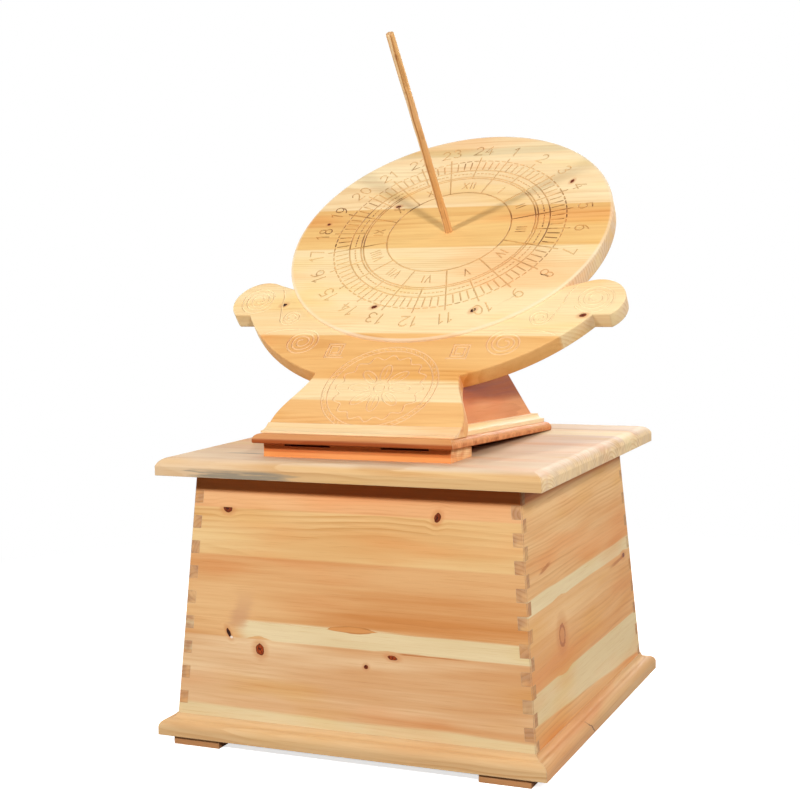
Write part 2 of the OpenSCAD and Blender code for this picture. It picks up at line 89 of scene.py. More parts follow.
camera = bpy.data.objects.new("camera", bpy.data.cameras.new("camera"))
bpy.context.scene.collection.objects.link(camera)
bpy.context.scene.camera = camera
camera.data.lens = LENS_MM
camera.data.sensor_width = SENSOR_MM
turned = Matrix((camera_right, camera_up, -ahead)).transposed()
camera.matrix_world = Matrix.Translation(CAMERA_PLACE) @ turned.to_4x4()
print("camera looks along", tuple(round(c, 3) for c in ahead))

# %% [markdown]
# ## Sums for shaders
# A wood finish is a long sum: distances, waves, masks. Written node by node it can't be read, so one small
# class wraps an output socket and turns + - * / into Math nodes, and every other node is set down by one
# method that takes its type, its settings and what goes into its sockets. Settings come first, because they
# decide which sockets a node has.

# %% A wrapped socket
class Wire:
    """An output socket of a finish, with the sums that a maker writes."""

    def __init__(self, finish, socket):
        self.finish = finish
        self.socket = socket

    def math(self, operation, *others):
        """The result of a Math node with this value first."""
        values = dict(enumerate((self,) + others))
        return self.finish.node("ShaderNodeMath", {"operation": operation}, values)

    def __add__(self, other):
        return self.math("ADD", other)

    def __sub__(self, other):
        return self.math("SUBTRACT", other)

    def __mul__(self, other):
        return self.math("MULTIPLY", other)

    def __truediv__(self, other):
        return self.math("DIVIDE", other)

    def __rsub__(self, other):
        return self.finish.node("ShaderNodeMath", {"operation": "SUBTRACT"}, {0: other, 1: self})

    def rise(self, low, high):
        """0 below low, 1 above high and a soft step between; low above high turns it round."""
        return self.finish.node("ShaderNodeMapRange", {"interpolation_type": "SMOOTHSTEP"},
                                {"Value": self, "From Min": low, "From Max": high})

    __radd__ = __add__
    __rmul__ = __mul__


# %% A finish and its one way to set down a node
def paint(red, green, blue):
    """A colour read off a chart, 0 to 255, in the linear numbers that shaders take."""
    def linear(value):
        value = value / 255
        return value / 12.92 if value <= 0.04045 else ((value + 0.055) / 1.055) ** 2.4

    return (linear(red), linear(green), linear(blue), 1.0)


class Finish:
    """The node tree of a new material, or of a new world, while it is being made."""

    def __init__(self, name, shelf=bpy.data.materials):
        self.material = shelf.new(name)
        self.material.use_nodes = True
        self.tree = self.material.node_tree
        self.tree.nodes.clear()

    def node(self, kind, settings=None, sockets=None, out=None):
        """Sets down a node, with its settings and then its sockets, and gives one of its outputs."""
        made = self.tree.nodes.new(kind)
        for setting, value in (settings or {}).items():
            if setting == "stops":
                set_stops(made.color_ramp, value)
            else:
                setattr(made, setting, value)
        for key, value in (sockets or {}).items():
            self.feed(pick(made.inputs, key), value)
        return Wire(self, pick(made.outputs, out))

    def feed(self, socket, value):
        """Puts a link or a plain value into a socket."""
        if isinstance(value, Wire):
            self.tree.links.new(value.socket, socket)
        else:
            socket.default_value = value

    def mix(self, first, second, share, blend="MIX"):
        """first turning into second as share goes from 0 to 1, for colours."""
        return self.node("ShaderNodeMix", {"data_type": "RGBA", "blend_type": blend},
                         {"Factor": share, "A": first, "B": second})

    def tint(self, colour, glaze, share):
        """A colour under a glaze that multiplies it, as far as share goes."""
        return self.mix(colour, glaze, share, "MULTIPLY")

    def dot(self, first, second):
        """How far one vector reaches along another."""
        return self.node("ShaderNodeVectorMath", {"operation": "DOT_PRODUCT"},
                         {0: first, 1: second}, out="Value")

    def close(self, surface):
        """Joins the shader to the material's output."""
        self.node("ShaderNodeOutputMaterial", sockets={"Surface": surface}, out=False)
        return self.material


def set_stops(ramp, stops):
    """Sets a colour ramp's interpolation and its (place, colour) stops, lowest first."""
    ramp.interpolation, places = stops
    while len(ramp.elements) > 1:
        ramp.elements.remove(ramp.elements[-1])
    for index, (place, colour) in enumerate(places):
        stop = ramp.elements[0] if index == 0 else ramp.elements.new(place)
        stop.position = place
        stop.color = colour


def pick(sockets, key):
    """A socket by its place or its name, or the first in use for None; False stands for no socket."""
    if key is False:
        return None
    if isinstance(key, int):
        return sockets[key]
    in_use = [s for s in sockets if s.enabled]
    return in_use[0] if key is None else next(s for s in in_use if s.name == key)


print("a mid paint tone in linear numbers:", [round(c, 3) for c in paint(188, 188, 188)[:3]])

# %% [markdown]
# ## A plain studio
# The real object stands on a white sweep between two soft lamps, one each side of the camera and not much
# above it: the gnomon throws two fading shadows in a V, and the top board throws a dark band on the box.
# Each lamp's power is worked out from its distance, so that a surface that faces it shows its colour times
# the lamp's level. The world only fills. What the camera sees behind the object is white, and the floor
# shows the camera its shadow on white, while it throws back no more light than a pale floor does.

# %% Lamps
AIM = Vector((0, 0.05, 0.45))
Lamp = namedtuple("Lamp", "azimuth elevation distance width level")
LAMPS = {
    "lamp_left": Lamp(azimuth=-33, elevation=22, distance=3.2, width=0.30, level=0.54),
    "lamp_right": Lamp(azimuth=36, elevation=22, distance=3.2, width=0.30, level=0.54),
    "lamp_overhead": Lamp(azimuth=10, elevation=80, distance=2.6, width=1.4, level=0.10),
    "lamp_side_left": Lamp(azimuth=-98, elevation=24, distance=3.4, width=1.2, level=0.26),
    "lamp_side_right": Lamp(azimuth=98, elevation=24, distance=3.4, width=1.2, level=0.42),
    "lamp_behind": Lamp(azimuth=180, elevation=20, distance=3.4, width=1.6, level=0.50),
}

for name, lamp in LAMPS.items():
    light = bpy.data.lights.new(name, "AREA")
    light.shape = "DISK"
    light.size = lamp.width
    light.energy = lamp.level * math.pi ** 2 * lamp.distance ** 2
    around, above = math.radians(lamp.azimuth), math.radians(lamp.elevation)
    toward = Vector((math.sin(around) * math.cos(above),
                     -math.cos(around) * math.cos(above), math.sin(above)))
    holder = bpy.data.objects.new(name, light)
    bpy.context.scene.collection.objects.link(holder)
    facing_aim = toward.to_track_quat("Z", "Y").to_matrix().to_4x4()
    holder.matrix_world = Matrix.Translation(AIM + toward * lamp.distance) @ facing_aim
print("lamps:", {name: round(lamp.level, 2) for name, lamp in LAMPS.items()})

# %% World and floor
WORLD_FILL = 0.04
FLOOR_HALF_M = 6.0
FLOOR_BOUNCE = paint(118, 112, 104)
FLOOR_GLOW = 0.72
FADE_FROM_M = 0.55
FADE_TO_M = 1.5
WHITE = (1, 1, 1, 1)

sky = Finish("studio", bpy.data.worlds)
bpy.context.scene.world = sky.material


def seen_white(finish):
    """1 where the camera, a mirror or a lens looks, 0 where light is only gathered."""
    rays = [finish.node("ShaderNodeLightPath", out=name)
            for name in ("Is Camera Ray", "Is Glossy Ray", "Is Transmission Ray")]
    return rays[0].math("MAXIMUM", rays[1]).math("MAXIMUM", rays[2])


fill = sky.node("ShaderNodeBackground", sockets={"Color": WHITE, "Strength": WORLD_FILL})
white = sky.node("ShaderNodeBackground", sockets={"Color": WHITE, "Strength": 1.0})
both = sky.node("ShaderNodeMixShader", sockets={0: seen_white(sky), 1: fill, 2: white})
sky.node("ShaderNodeOutputWorld", sockets={"Surface": both}, out=False)

sweep = Finish("floor_sweep")
bounce = sweep.node("ShaderNodeBsdfDiffuse", sockets={"Color": FLOOR_BOUNCE})
pale = sweep.node("ShaderNodeBsdfDiffuse", sockets={"Color": WHITE})
glow = sweep.node("ShaderNodeEmission", sockets={"Color": WHITE, "Strength": FLOOR_GLOW})
near = sweep.node("ShaderNodeAddShader", sockets={0: pale, 1: glow})
far = sweep.node("ShaderNodeEmission", sockets={"Color": WHITE, "Strength": 1.0})
away = sweep.node("ShaderNodeVectorMath", {"operation": "LENGTH"},
                  {0: sweep.node("ShaderNodeTexCoord", out="Object")}, out="Value")
shown = sweep.node("ShaderNodeMixShader", sockets={0: away.rise(FADE_FROM_M, FADE_TO_M), 1: near, 2: far})
sweep.close(sweep.node("ShaderNodeMixShader", sockets={0: seen_white(sweep), 1: bounce, 2: shown}))

floor_mesh = bpy.data.meshes.new("floor")
corners = [(x * FLOOR_HALF_M, y * FLOOR_HALF_M, 0) for x, y in ((-1, -1), (1, -1), (1, 1), (-1, 1))]
floor_mesh.from_pydata(corners, [], [(0, 1, 2, 3)])
floor_mesh.materials.append(sweep.material)
floor = bpy.data.objects.new("floor", floor_mesh)
bpy.context.scene.collection.objects.link(floor)
bpy.context.scene.view_settings.view_transform = "Standard"
print("floor is", 2 * FLOOR_HALF_M, "m wide")

# %% [markdown]
# ## A ruler on every board
# Fir is the same stuff all through, so its pattern is worked out in the board's own space, not painted on
# its face: an edge or an end then shows the same rings that the face shows. Every piece lies at the origin
# with its place in its mesh, so object coordinates are real places. Each board's ruler turns them into u
# along the grain, v across the face and w out of it, in millimetres.

# %% The ruler
class Plank(Finish):
    """A finish that knows how its board lies."""

    def __init__(self, name, start, along, across, seed):
        super().__init__(name)
        self.along = Vector(along).normalized()
        across = Vector(across).normalized()
        self.seed = seed
        place = self.node("ShaderNodeTexCoord", out="Object")
        step = self.node("ShaderNodeVectorMath", {"operation": "SUBTRACT"}, {0: place, 1: start})
        self.u, self.v, self.w = (self.measure(step, axis) for axis in
                                  (self.along, across, self.along.cross(across)))
        self.spot = self.node("ShaderNodeCombineXYZ", sockets={0: self.u, 1: self.v, 2: self.w})

    def measure(self, step, axis):
        """How far a step goes along an axis, in millimetres."""
        return self.dot(step, axis) / MM

    def cloud(self, long, wide, layers=2, turn=0):
        """Smooth noise about 0 whose spots are long by wide millimetres; each turn is another pattern."""
        shift = (self.seed * 7.31 + turn * 3.7, self.seed * 2.93, turn * 5.1)
        spot = self.node("ShaderNodeVectorMath", {"operation": "MULTIPLY_ADD"},
                         {0: self.spot, 1: (1 / long, 1 / wide, 1 / wide), 2: shift})
        return self.node("ShaderNodeTexNoise", sockets={"Vector": spot, "Scale": 1.0, "Detail": layers}) - 0.5


print("rulers measure in steps of", MM, "m")

# %% [markdown]
# ## Growth rings
# A tree's rings are long tubes round its pith, and a board is a slice through them. The pith lies somewhere
# behind the face and drifts a little along the board, so the face shows long lines, close together where the
# slice is steep and wide apart, closing to arches, above the pith. Each ring goes slowly from pale early wood
# to a thin dark line of late wood and then starts again. A wide board is glued up from staves, and each
# stave was another part of a tree: a ramp with sharp steps gives every stave its own pith.

# %% Staves and rings
PITH_NEAR_W, PITH_FAR_W = -18, -73
PITH_OFF_CENTRE = 0.8
DRIFT_ACROSS, DRIFT_BEHIND = 46, 34
RING_WAVER = 0.32
LATE_FROM, LATE_FULL, LATE_END = 0.30, 0.90, 0.94


def stave_piths(plank, joints, reach, gap_range):
    """The pith's place across and behind the face, and the ring gap, for the stave under each point.

    A ramp's colours hold only 0 to 1, so the place across is kept as a share of three times the board's
    width. A pith may then lie outside its board.
    """
    draw = random.Random(plank.seed)
    edges = [reach[0], *joints, reach[1]]
    span = reach[1] - reach[0]
    room = 3 * span
    stops = []
    for low, high in zip(edges, edges[1:]):
        pith = (low + high) / 2 + draw.uniform(-PITH_OFF_CENTRE, PITH_OFF_CENTRE) * (high - low)
        share = (pith - reach[0] + span) / room
        stops.append(((low - reach[0]) / span, (share, draw.random(), draw.random(), 1)))
    place = (plank.v - reach[0]) / span
    picked = plank.node("ShaderNodeValToRGB", {"stops": ("CONSTANT", stops)}, {0: place})
    across, behind, gap = (plank.node("ShaderNodeSeparateColor", sockets={0: picked}, out=name)
                           for name in ("Red", "Green", "Blue"))
    return (across * room + (reach[0] - span),
            behind * (PITH_FAR_W - PITH_NEAR_W) + PITH_NEAR_W,
            gap * (gap_range[1] - gap_range[0]) + gap_range[0])


def growth_rings(plank, flow, piths, lean):
    """Late wood from 0 to 1, and a number of its own for each ring."""
    pith_v, pith_w, gap = piths
    off_v = flow - pith_v + plank.cloud(520, 130, turn=1) * DRIFT_ACROSS
    off_w = plank.w - pith_w + plank.u * lean + plank.cloud(430, 130, turn=2) * DRIFT_BEHIND
    from_pith = (off_v * off_v + off_w * off_w).math("SQRT")
    ring = from_pith / gap + plank.cloud(60, 7, turn=3) * RING_WAVER
    age = ring.math("FRACT")
    late = age.rise(LATE_FROM, LATE_FULL) * age.rise(1.0, LATE_END)
    own = plank.node("ShaderNodeTexWhiteNoise", {"noise_dimensions": "1D"},
                     {"W": ring.math("FLOOR")}, out="Value")
    return late, own


print("late wood is darkest from", LATE_FULL, "to", LATE_END, "of each ring")

# %% [markdown]
# ## Knots
# A knot is a branch seen end on: a small dark plug with rings of its own, often cracked, with resin round it
# and the board's grain parting to pass it. Its distance field is bent by a little noise, so that no knot is
# a clean ellipse. A knot's long and high are half its size, its turn is in degrees, and where it meets a glue
# joint it is cut off there, at v = top.

# %% Knots
Knot = namedtuple("Knot", "u v long high kind turn top", defaults=(0, 900))
KNOT_CORE = {"brown": paint(128, 50, 14), "black": paint(46, 16, 4), "red": paint(166, 64, 20)}
KNOT_RIM = paint(88, 32, 8)
KNOT_RING = paint(164, 82, 10)
KNOT_CRACK = paint(30, 8, 0)
HALO = paint(206, 128, 74)


def knot_fields(plank, knots):
    """Each knot's distance field, 1 on its rim, with the v that the grain flows along round them all."""
    flow = plank.v
    fields = []
    ragged = plank.cloud(5, 5, turn=9) * 0.5
    for knot in knots:
        turned = math.radians(knot.turn)
        off_u, off_v = plank.u - knot.u, plank.v - knot.v
        long = (off_u * math.cos(turned) + off_v * math.sin(turned)) / knot.long
        high = (off_v * math.cos(turned) - off_u * math.sin(turned)) / knot.high
        rim = (long * long + high * high).math("SQRT") + ragged
        fields.append((knot, rim))
        flow = flow - off_v * rim.rise(4.2, 0.8) * 0.5
    return fields, flow


def colour_knots(plank, wood, fields):
    """The wood's colour with its knots, and how dark each point is as a knot."""
    plug = None
    crack = plank.cloud(3, 9, turn=14).math("ABSOLUTE").rise(0.05, 0.015)
    for knot, rim in fields:
        there = plank.v.rise(knot.top + 0.4, knot.top - 0.4)
        wood = plank.mix(wood, HALO, rim.rise(2.6, 1.0) * 0.5 * there)
        if knot.kind == "oval":
            wood = plank.mix(wood, KNOT_RING, rim.rise(1.0, 0.7) * 0.22)
            inside = rim.rise(0.60, 0.84) * rim.rise(1.14, 0.98) * 0.85
            wood = plank.mix(wood, KNOT_RING, inside)
        else:
            inside = rim.rise(1.1, 0.94) * there
            ringed = (rim * 3.2).math("FRACT").rise(0.2, 0.9) * 0.3
            heart = (ringed + crack * rim.rise(1.0, 0.6) + rim.rise(0.36, 0.12)).math("MINIMUM", 1.0)
            core = plank.mix(KNOT_CORE[knot.kind], KNOT_CRACK, heart * 0.85)
            core = plank.mix(core, KNOT_RIM, rim.rise(0.70, 0.90) * 0.85)
            wood = plank.mix(wood, core, inside)
        plug = inside if plug is None else plug.math("MAXIMUM", inside)
    return wood, plug


print("knots come in", sorted(KNOT_CORE), "and oval")

# %% [markdown]
# ## Sapwood
# The outer wood of the tree is cream and the inner wood is honey to orange. Where a stave holds both, a pale
# band runs along the board. Its edge follows the grain and wavers, but where it meets a glue joint it is as
# straight as the saw cut, so each edge has its own softness.

# %% Sapwood bands
Sap = namedtuple("Sap", "low high start end low_soft high_soft", defaults=(-900, 900, 1.2, 3.0))


def sapwood(plank, flow, bands):
    """1 in the pale bands. An edge is (v at u = 0, rise per mm of u)."""
    waver = plank.cloud(150, 40, layers=1, turn=4)
    cover = None
    for band in bands:
        low = flow - (plank.u * band.low[1] + band.low[0]) + waver * (4 * band.low_soft)
        high = flow - (plank.u * band.high[1] + band.high[0]) + waver * (4 * band.high_soft)
        along = plank.u + waver * 60
        here = low.rise(-band.low_soft, band.low_soft) * high.rise(band.high_soft, -band.high_soft)
        here = here * along.rise(band.start - 14, band.start + 14) * along.rise(band.end + 14, band.end - 14)
        cover = here if cover is None else cover.math("MAXIMUM", here)
    return cover


print("a sapwood band says its", ", ".join(Sap._fields))

# %% [markdown]
# ## Putting a board together
# The finish is built the way the eye reads wood: the stave's own tone, slow patches that lean to pink or
# yellow, late-wood lines, fibres, knots, then what the workshop did to it. End grain drinks more oil and
# turns darker. The bevel node rounds every arris by up to a millimetre, as sandpaper does, and where it does
# so the edge is painted paler, partly as wear and partly as a highlight along the arris. Height for the bump
# is the late wood, which stands proud when softwood is sanded, and the fibres.

# %% Tones
Tone = namedtuple("Tone", "pale deep end")
HONEY = Tone(paint(238, 194, 138), paint(222, 160, 100), paint(192, 146, 108))
SAP_PALE = paint(240, 218, 174)
SAP_DEEP = paint(228, 202, 154)
LATE_TINT = paint(230, 208, 180)
ROSE = paint(255, 236, 224)
STRAW = paint(253, 246, 224)
EDGE_WEAR_AND_HIGHLIGHT = paint(244, 222, 192)
JOINT_SOFT = 0.7


def staved(staves, reach, end_tone):
    """A tone for fir: each stave's own two tones, blended over a millimetre or so at the glue joints."""
    span = reach[1] - reach[0]

    def tone(plank, share):
        place = (plank.v + plank.cloud(180, 50, turn=21) * 2 - reach[0]) / span
        tones = []
        for which in (1, 2):
            stops = []
            for before, stave in zip((None,) + staves, staves):
                here = (stave[0] - reach[0]) / span
                if before:
                    stops.append((here - JOINT_SOFT / span, before[which]))
                stops.append((here + JOINT_SOFT / span, stave[which]))
            tones.append(plank.node("ShaderNodeValToRGB", {"stops": ("LINEAR", stops)},
                                    {0: place}, out="Color"))
        return plank.mix(tones[0], tones[1], share), end_tone

    return tone


print("honey fir's pale tone:", [round(c, 3) for c in HONEY.pale[:3]])


# %% Patches, ends and edges
def patches(plank, wood):
    """Slow patches that lean to pink or to yellow."""
    wood = plank.tint(wood, ROSE, plank.cloud(300, 70, turn=8).rise(0.02, 0.22))
    return plank.tint(wood, STRAW, plank.cloud(260, 60, turn=10).rise(0.02, 0.22))


def end_grain(plank, wood, end_tone, late, facing):
    """The wood with its ends in their own tone, and 1 where the surface is an end."""
    end = plank.dot(facing, plank.along).math("ABSOLUTE").rise(0.70, 0.93)
    end_wood = plank.tint(end_tone, LATE_TINT, late * 0.6)
    end_wood = plank.mix(end_wood, wood, plank.cloud(60, 16, layers=1, turn=13).rise(-0.2, 0.25) * 0.75)
    return plank.mix(wood, end_wood, end), end


def rub_edges(plank, wood, eased, facing, edge_paling):
    """Paler wood where the bevel turns the surface, more in some places than in others: partly wear, partly a
    painted highlight along the arris.
    """
    sharp = 1 - plank.dot(eased, facing)
    wear_and_highlight = sharp.rise(0.02, 0.22) * (plank.cloud(30, 12, turn=12) + 0.6) * edge_paling
    return plank.mix(wood, EDGE_WEAR_AND_HIGHLIGHT, wear_and_highlight)


print("a surface is an end where it faces along the grain")

# %% The board recipe
STAVE_SPREAD = 0.25
BUMP_STRENGTH = 0.22
BUMP_MM = 0.3


def fir(name, start, along, across, seed, reach, tone=HONEY, joints=(), sap=(), knots=(), strength=1.0,
        marks=None, edge_paling=0.5, lean=0.04, edge_mm=1.0, gaps=(4.5, 8.0), figure=1.0, lined=None, relief=1.0):
    """A fir board's finish. start is a point of its face in metres; the rest is in millimetres of u and v.

    seed gives the board piths and noise of its own. reach is its lowest and its highest v, joints are the
    glue joints between them, and gaps the narrowest and the widest ring. lean is how far the pith sinks for
    each millimetre along the board, and edge_mm the radius of its eased edges. strength darkens the late
    wood, figure spreads the tones, edge_paling paints the edges paler, as wear and as a highlight, and relief
    raises the grain. marks and lined are functions, for what only one board has.
    """
    plank = Plank(name, start, along, across, seed)
    fields, flow = knot_fields(plank, knots)
    piths = stave_piths(plank, joints, reach, gaps)
    late, own = growth_rings(plank, flow, piths, lean)
    patch = plank.cloud(340, 46, turn=5)
    streak = plank.cloud(240, 5, layers=3, turn=6)
    fibre = plank.cloud(46, 0.8, turn=7)
    stave_share = (piths[2] - (gaps[0] + gaps[1]) / 2) / (gaps[1] - gaps[0])
    share = ((patch * 1.5 + streak * 0.5) * figure + stave_share * (2 * STAVE_SPREAD) + 0.5).rise(0.0, 1.0)
    if isinstance(tone, Tone):
        wood = plank.mix(tone.pale, tone.deep, share)
        end_tone = tone.end
    else:
        wood, end_tone = tone(plank, share)
    cover = sapwood(plank, flow, sap) if sap else None
    if sap:
        wood = plank.mix(wood, plank.mix(SAP_PALE, SAP_DEEP, share), cover)
    wood = patches(plank, wood)
    quiet = plank.cloud(380, 55, turn=11).rise(-0.12, 0.22) * 0.9 + 0.1
    line = late * quiet * (own * 0.9 + 0.25)
    if lined:
        line = line * lined(plank)
    faint = strength if cover is None else (cover * -0.55 + 1) * strength
    wood = plank.tint(wood, LATE_TINT, line * faint)
    wood = plank.tint(wood, LATE_TINT, fibre.rise(0.02, 0.3) * 0.5)
    if knots:
        wood, plug = colour_knots(plank, wood, fields)
    if marks:
        wood = marks(plank, wood)
    facing = plank.node("ShaderNodeNewGeometry", out="Normal")
    wood, end = end_grain(plank, wood, end_tone, late, facing)
    eased = plank.node("ShaderNodeBevel", {"samples": 4}, {"Radius": edge_mm * MM})
    wood = rub_edges(plank, wood, eased, facing, edge_paling)
    rough = 0.60 - late * 0.06 + streak * 0.16 + end * 0.14
    if knots:
        rough = rough - plug * 0.14
    height = (late * 0.6 * (1 - end) + fibre * 0.8) * relief
    bump = plank.node("ShaderNodeBump", sockets={"Strength": BUMP_STRENGTH, "Distance": BUMP_MM * MM,
                                                 "Height": height, "Normal": eased})
    surface = plank.node("ShaderNodeBsdfPrincipled",
                         sockets={"Base Color": wood, "Roughness": rough, "Specular IOR Level": 0.15,
                                  "Normal": bump})
    return plank.close(surface)


print("the grain stands up to", BUMP_MM, "mm proud")


# %% Dressing a piece
def dress(material, *names):
    """Gives CAD pieces a finish in place of the plain colour that they came with."""
    for name in names:
        for slot in frame["nodes"][name].material_slots:
            slot.material = material
    print(material.name, "on", ", ".join(names))


def below(name, direction):
    """The point on the floor under the middle of the side of a piece that looks in a direction."""
    low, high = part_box(name)
    middle, half = (low + high) / 2, (high - low) / 2
    return Vector((middle.x + half.x * direction.x, middle.y + half.y * direction.y, 0))


print("pieces to dress:", len(frame["nodes"]))

# %% [markdown]
# ## The box
# Four boards lean in to each other, finger-jointed at the corners. The front board shows two cream bands:
# one starts at a glue joint below the middle, and one comes out from behind the moulding. Its knots are
# where they are on the real board. The right board has two more bands, the lower one wider, and a large knot
# of which only a ring shows. The left and back boards aren't seen in the photograph; they are cut from the
# same stack. All four are painted browner under the overhang of the top, as the shade that it throws.

# %% Front board
FRONT_KNOTS = (
    Knot(-184, 325, 6.5, 5.0, "brown", top=327), Knot(123, 328, 4.4, 6.2, "brown", -20),
    Knot(-181, 156.5, 2.6, 6.2, "black", 28), Knot(-132.5, 137.4, 6.0, 7.6, "red", 22),
    Knot(25, 128, 3.0, 2.8, "brown"), Knot(62.6, 143, 7.0, 2.8, "red", -8),
)
FRONT_STAVES = (
    (-260, paint(246, 216, 172), paint(216, 158, 104)),
    (151, paint(236, 190, 134), paint(210, 140, 78)),
    (262, paint(240, 204, 146), paint(226, 174, 112)),
    (327, paint(240, 188, 134), paint(226, 162, 108)),
)
BOX_REACH = (-260, 400)
FIR_END = paint(192, 146, 108)
FRONT_SAP = (
    Sap(low=(150, -0.004), high=(175, -0.006), start=-157, end=400, low_soft=0.8, high_soft=1.8),
    Sap(low=(-40, 0), high=(54, -0.01), low_soft=1, high_soft=2.6),
)
OVERHANG_SHADE_TINT = paint(222, 176, 136)
OVERHANG_V = 348


def oiled_top(plank, wood):
    """Painted shade: under the overhang of the top, where the top board throws its shadow, the wood is
    painted browner.
    """
    return plank.tint(wood, OVERHANG_SHADE_TINT, plank.v.rise(OVERHANG_V - 4, OVERHANG_V + 4))


def scratch(plank, place, slope, ragged, sides):
    """1 on a thin line through place, (u, v); it fades out from sides[1] to sides[0] beside the line."""
    off = plank.v - place[1] - (plank.u - place[0]) * slope + ragged
    return off.math("ABSOLUTE").rise(*sides)


def front_tone(plank, share):
    """The front staves, paler toward the left."""
    toward_right = plank.u.rise(-240, 60)
    return staved(FRONT_STAVES, BOX_REACH, FIR_END)(plank, share * 0.7 + toward_right * 0.34 - 0.04)


def front_lines(plank):
    """Fine dark lines run mostly between the upper knots and the orange stave."""
    return plank.v.rise(254, 266) * plank.v.rise(334, 318) * 0.75 + 0.3


LENS_PLACE, LENS_HALF_LONG, LENS_HALF_HIGH = (4, 174), 38, 4.6
BRUISE_PLACE, BRUISE_LEAN = (-172, 156), 0.30
GLINT_PLACE, GLINT_LONG, GLINT_HIGH = (-176.5, 150.6), 2.2, 1.8
LENS_WOOD, LENS_EDGE = paint(216, 146, 82), paint(158, 92, 40)
TAIL_BROWN = paint(186, 108, 50)
BRUISED = paint(206, 152, 112)
GLINT_PALE = paint(252, 238, 222)


def front_marks(plank, wood):
    """A brown lens and a thin brown tail in the cream band, a bruise above the black knot, a painted glint by
    it, and the painted shade under the top.
    """
    streak = plank.cloud(60, 4, turn=20)
    off = (plank.u - LENS_PLACE[0]) / LENS_HALF_LONG
    lens = 1 - off * off
    off_v = (plank.v - LENS_PLACE[1] + streak * 5).math("ABSOLUTE")
    off_v = off_v / (lens.math("MAXIMUM", 0.02) * LENS_HALF_HIGH)
    inside = off_v.rise(1.1, 0.9)
    wood = plank.mix(wood, LENS_WOOD, inside * 0.95)
    wood = plank.mix(wood, LENS_EDGE, off_v.rise(0.6, 0.95) * inside * 0.55)
    tail = scratch(plank, (0, 149), -0.006, streak * 5, (2.2, 0.5))
    tail = tail * plank.u.rise(66, 80) * plank.u.rise(176, 130)
    wood = plank.mix(wood, TAIL_BROWN, tail * 0.75)
    lean_u = plank.u - BRUISE_PLACE[0] - (plank.v - BRUISE_PLACE[1]) * BRUISE_LEAN + streak * 20
    bruise = lean_u.math("ABSOLUTE").rise(19, 5) * plank.v.rise(158, 172) * plank.v.rise(226, 178)
    wood = plank.mix(wood, BRUISED, bruise * 0.62)
    # a painted highlight: a pale glint beside the black knot
    glint_u, glint_v = (plank.u - GLINT_PLACE[0]) / GLINT_LONG, (plank.v - GLINT_PLACE[1]) / GLINT_HIGH
    glint = (glint_u * glint_u + glint_v * glint_v).math("SQRT").rise(1.2, 0.7)
    wood = plank.mix(wood, GLINT_PALE, glint * 0.85)
    return oiled_top(plank, wood)


dress(fir("fir_box_front", below("box_front", -BACKWARD), ACROSS, UP, 11, BOX_REACH, front_tone,
          (151, 262, 327), FRONT_SAP, FRONT_KNOTS, marks=front_marks, strength=1.1, lean=0.012,
          lined=front_lines, figure=1.3), "box_front")

# %% Right board
RIGHT_KNOTS = (Knot(-117, 157, 13, 15, "oval"), Knot(208, 203, 7, 3.4, "brown"))
RIGHT_SAP = (
    Sap(low=(208, 0), high=(228.5, 0), low_soft=0.9, high_soft=1.6),
    Sap(low=(58.5, -0.052), high=(109.5, -0.006), low_soft=2.4, high_soft=1.2),
)
STREAK_BROWN = paint(180, 106, 56)


def right_marks(plank, wood):
    """A short brown streak near the front and a longer one by the rear knot, and the painted shade under the
    top.
    """
    torn = plank.cloud(50, 4, turn=20) * 7
    short = scratch(plank, (-165, 256), 0.12, torn, (3.0, 0.8))
    short = short * plank.u.rise(-196, -180) * plank.u.rise(-136, -156)
    long = scratch(plank, (160, 200), 0.05, torn, (3.6, 1.0))
    long = long * plank.u.rise(120, 160) * plank.u.rise(214, 200)
    return oiled_top(plank, plank.mix(wood, STREAK_BROWN, (short + long) * 0.7))


dress(fir("fir_box_right", below("box_right", ACROSS), BACKWARD, UP, 23, BOX_REACH, HONEY, (168, 285),
          RIGHT_SAP, RIGHT_KNOTS, marks=right_marks, strength=0.8, lean=0.02), "box_right")

# %% Left and back boards
LEFT_KNOTS = (Knot(96, 300, 6, 5, "brown"), Knot(-150, 212, 5, 4, "red"), Knot(30, 96, 4, 4, "black"))
LEFT_SAP = (Sap(low=(126, 0.01), high=(166, 0.01), low_soft=0.8, high_soft=2.2),)
dress(fir("fir_box_left", below("box_left", -ACROSS), -BACKWARD, UP, 31, BOX_REACH, HONEY, (126, 240),
          LEFT_SAP, LEFT_KNOTS, marks=oiled_top, strength=0.8, lean=0.02), "box_left")

BACK_KNOTS = (Knot(-60, 268, 7, 6, "brown"), Knot(160, 140, 5, 5, "red"), Knot(-196, 90, 4, 3.4, "brown"))
BACK_SAP = (Sap(low=(196, 0), high=(232, 0.01), low_soft=0.8, high_soft=2.4),
            Sap(low=(-40, 0), high=(66, -0.01), low_soft=1, high_soft=2.0))
dress(fir("fir_box_back", below("box_back", BACKWARD), -ACROSS, UP, 37, BOX_REACH, HONEY, (196, 300),
          BACK_SAP, BACK_KNOTS, marks=oiled_top, strength=0.8, lean=0.015), "box_back")

# %% [markdown]
# ## The top board, the moulding and the feet
# The top is the palest board of the plinth, a little pink in the middle, glued up from five staves. Its ends
# are pale too, so its end grain gets its own tone. A grey-blue stain, which pine and fir get when they lie
# damp before sawing, runs along the front edge on the left. The moulding is four strips of one warm tone,
# each with its grain along it. The feet are a darker offcut.

# %% Top board
TOP_TONE = Tone(paint(228, 202, 170), paint(216, 182, 146), paint(244, 216, 172))
TOP_SAP = (Sap(low=(120, 0), high=(188, 0), low_soft=1.0, high_soft=4),)
STAIN = paint(140, 132, 116)
EDGE_TINT = paint(250, 232, 196)
PAINTED_SHADE_TINT = paint(196, 142, 104)
plate_low, plate_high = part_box("base_plate")


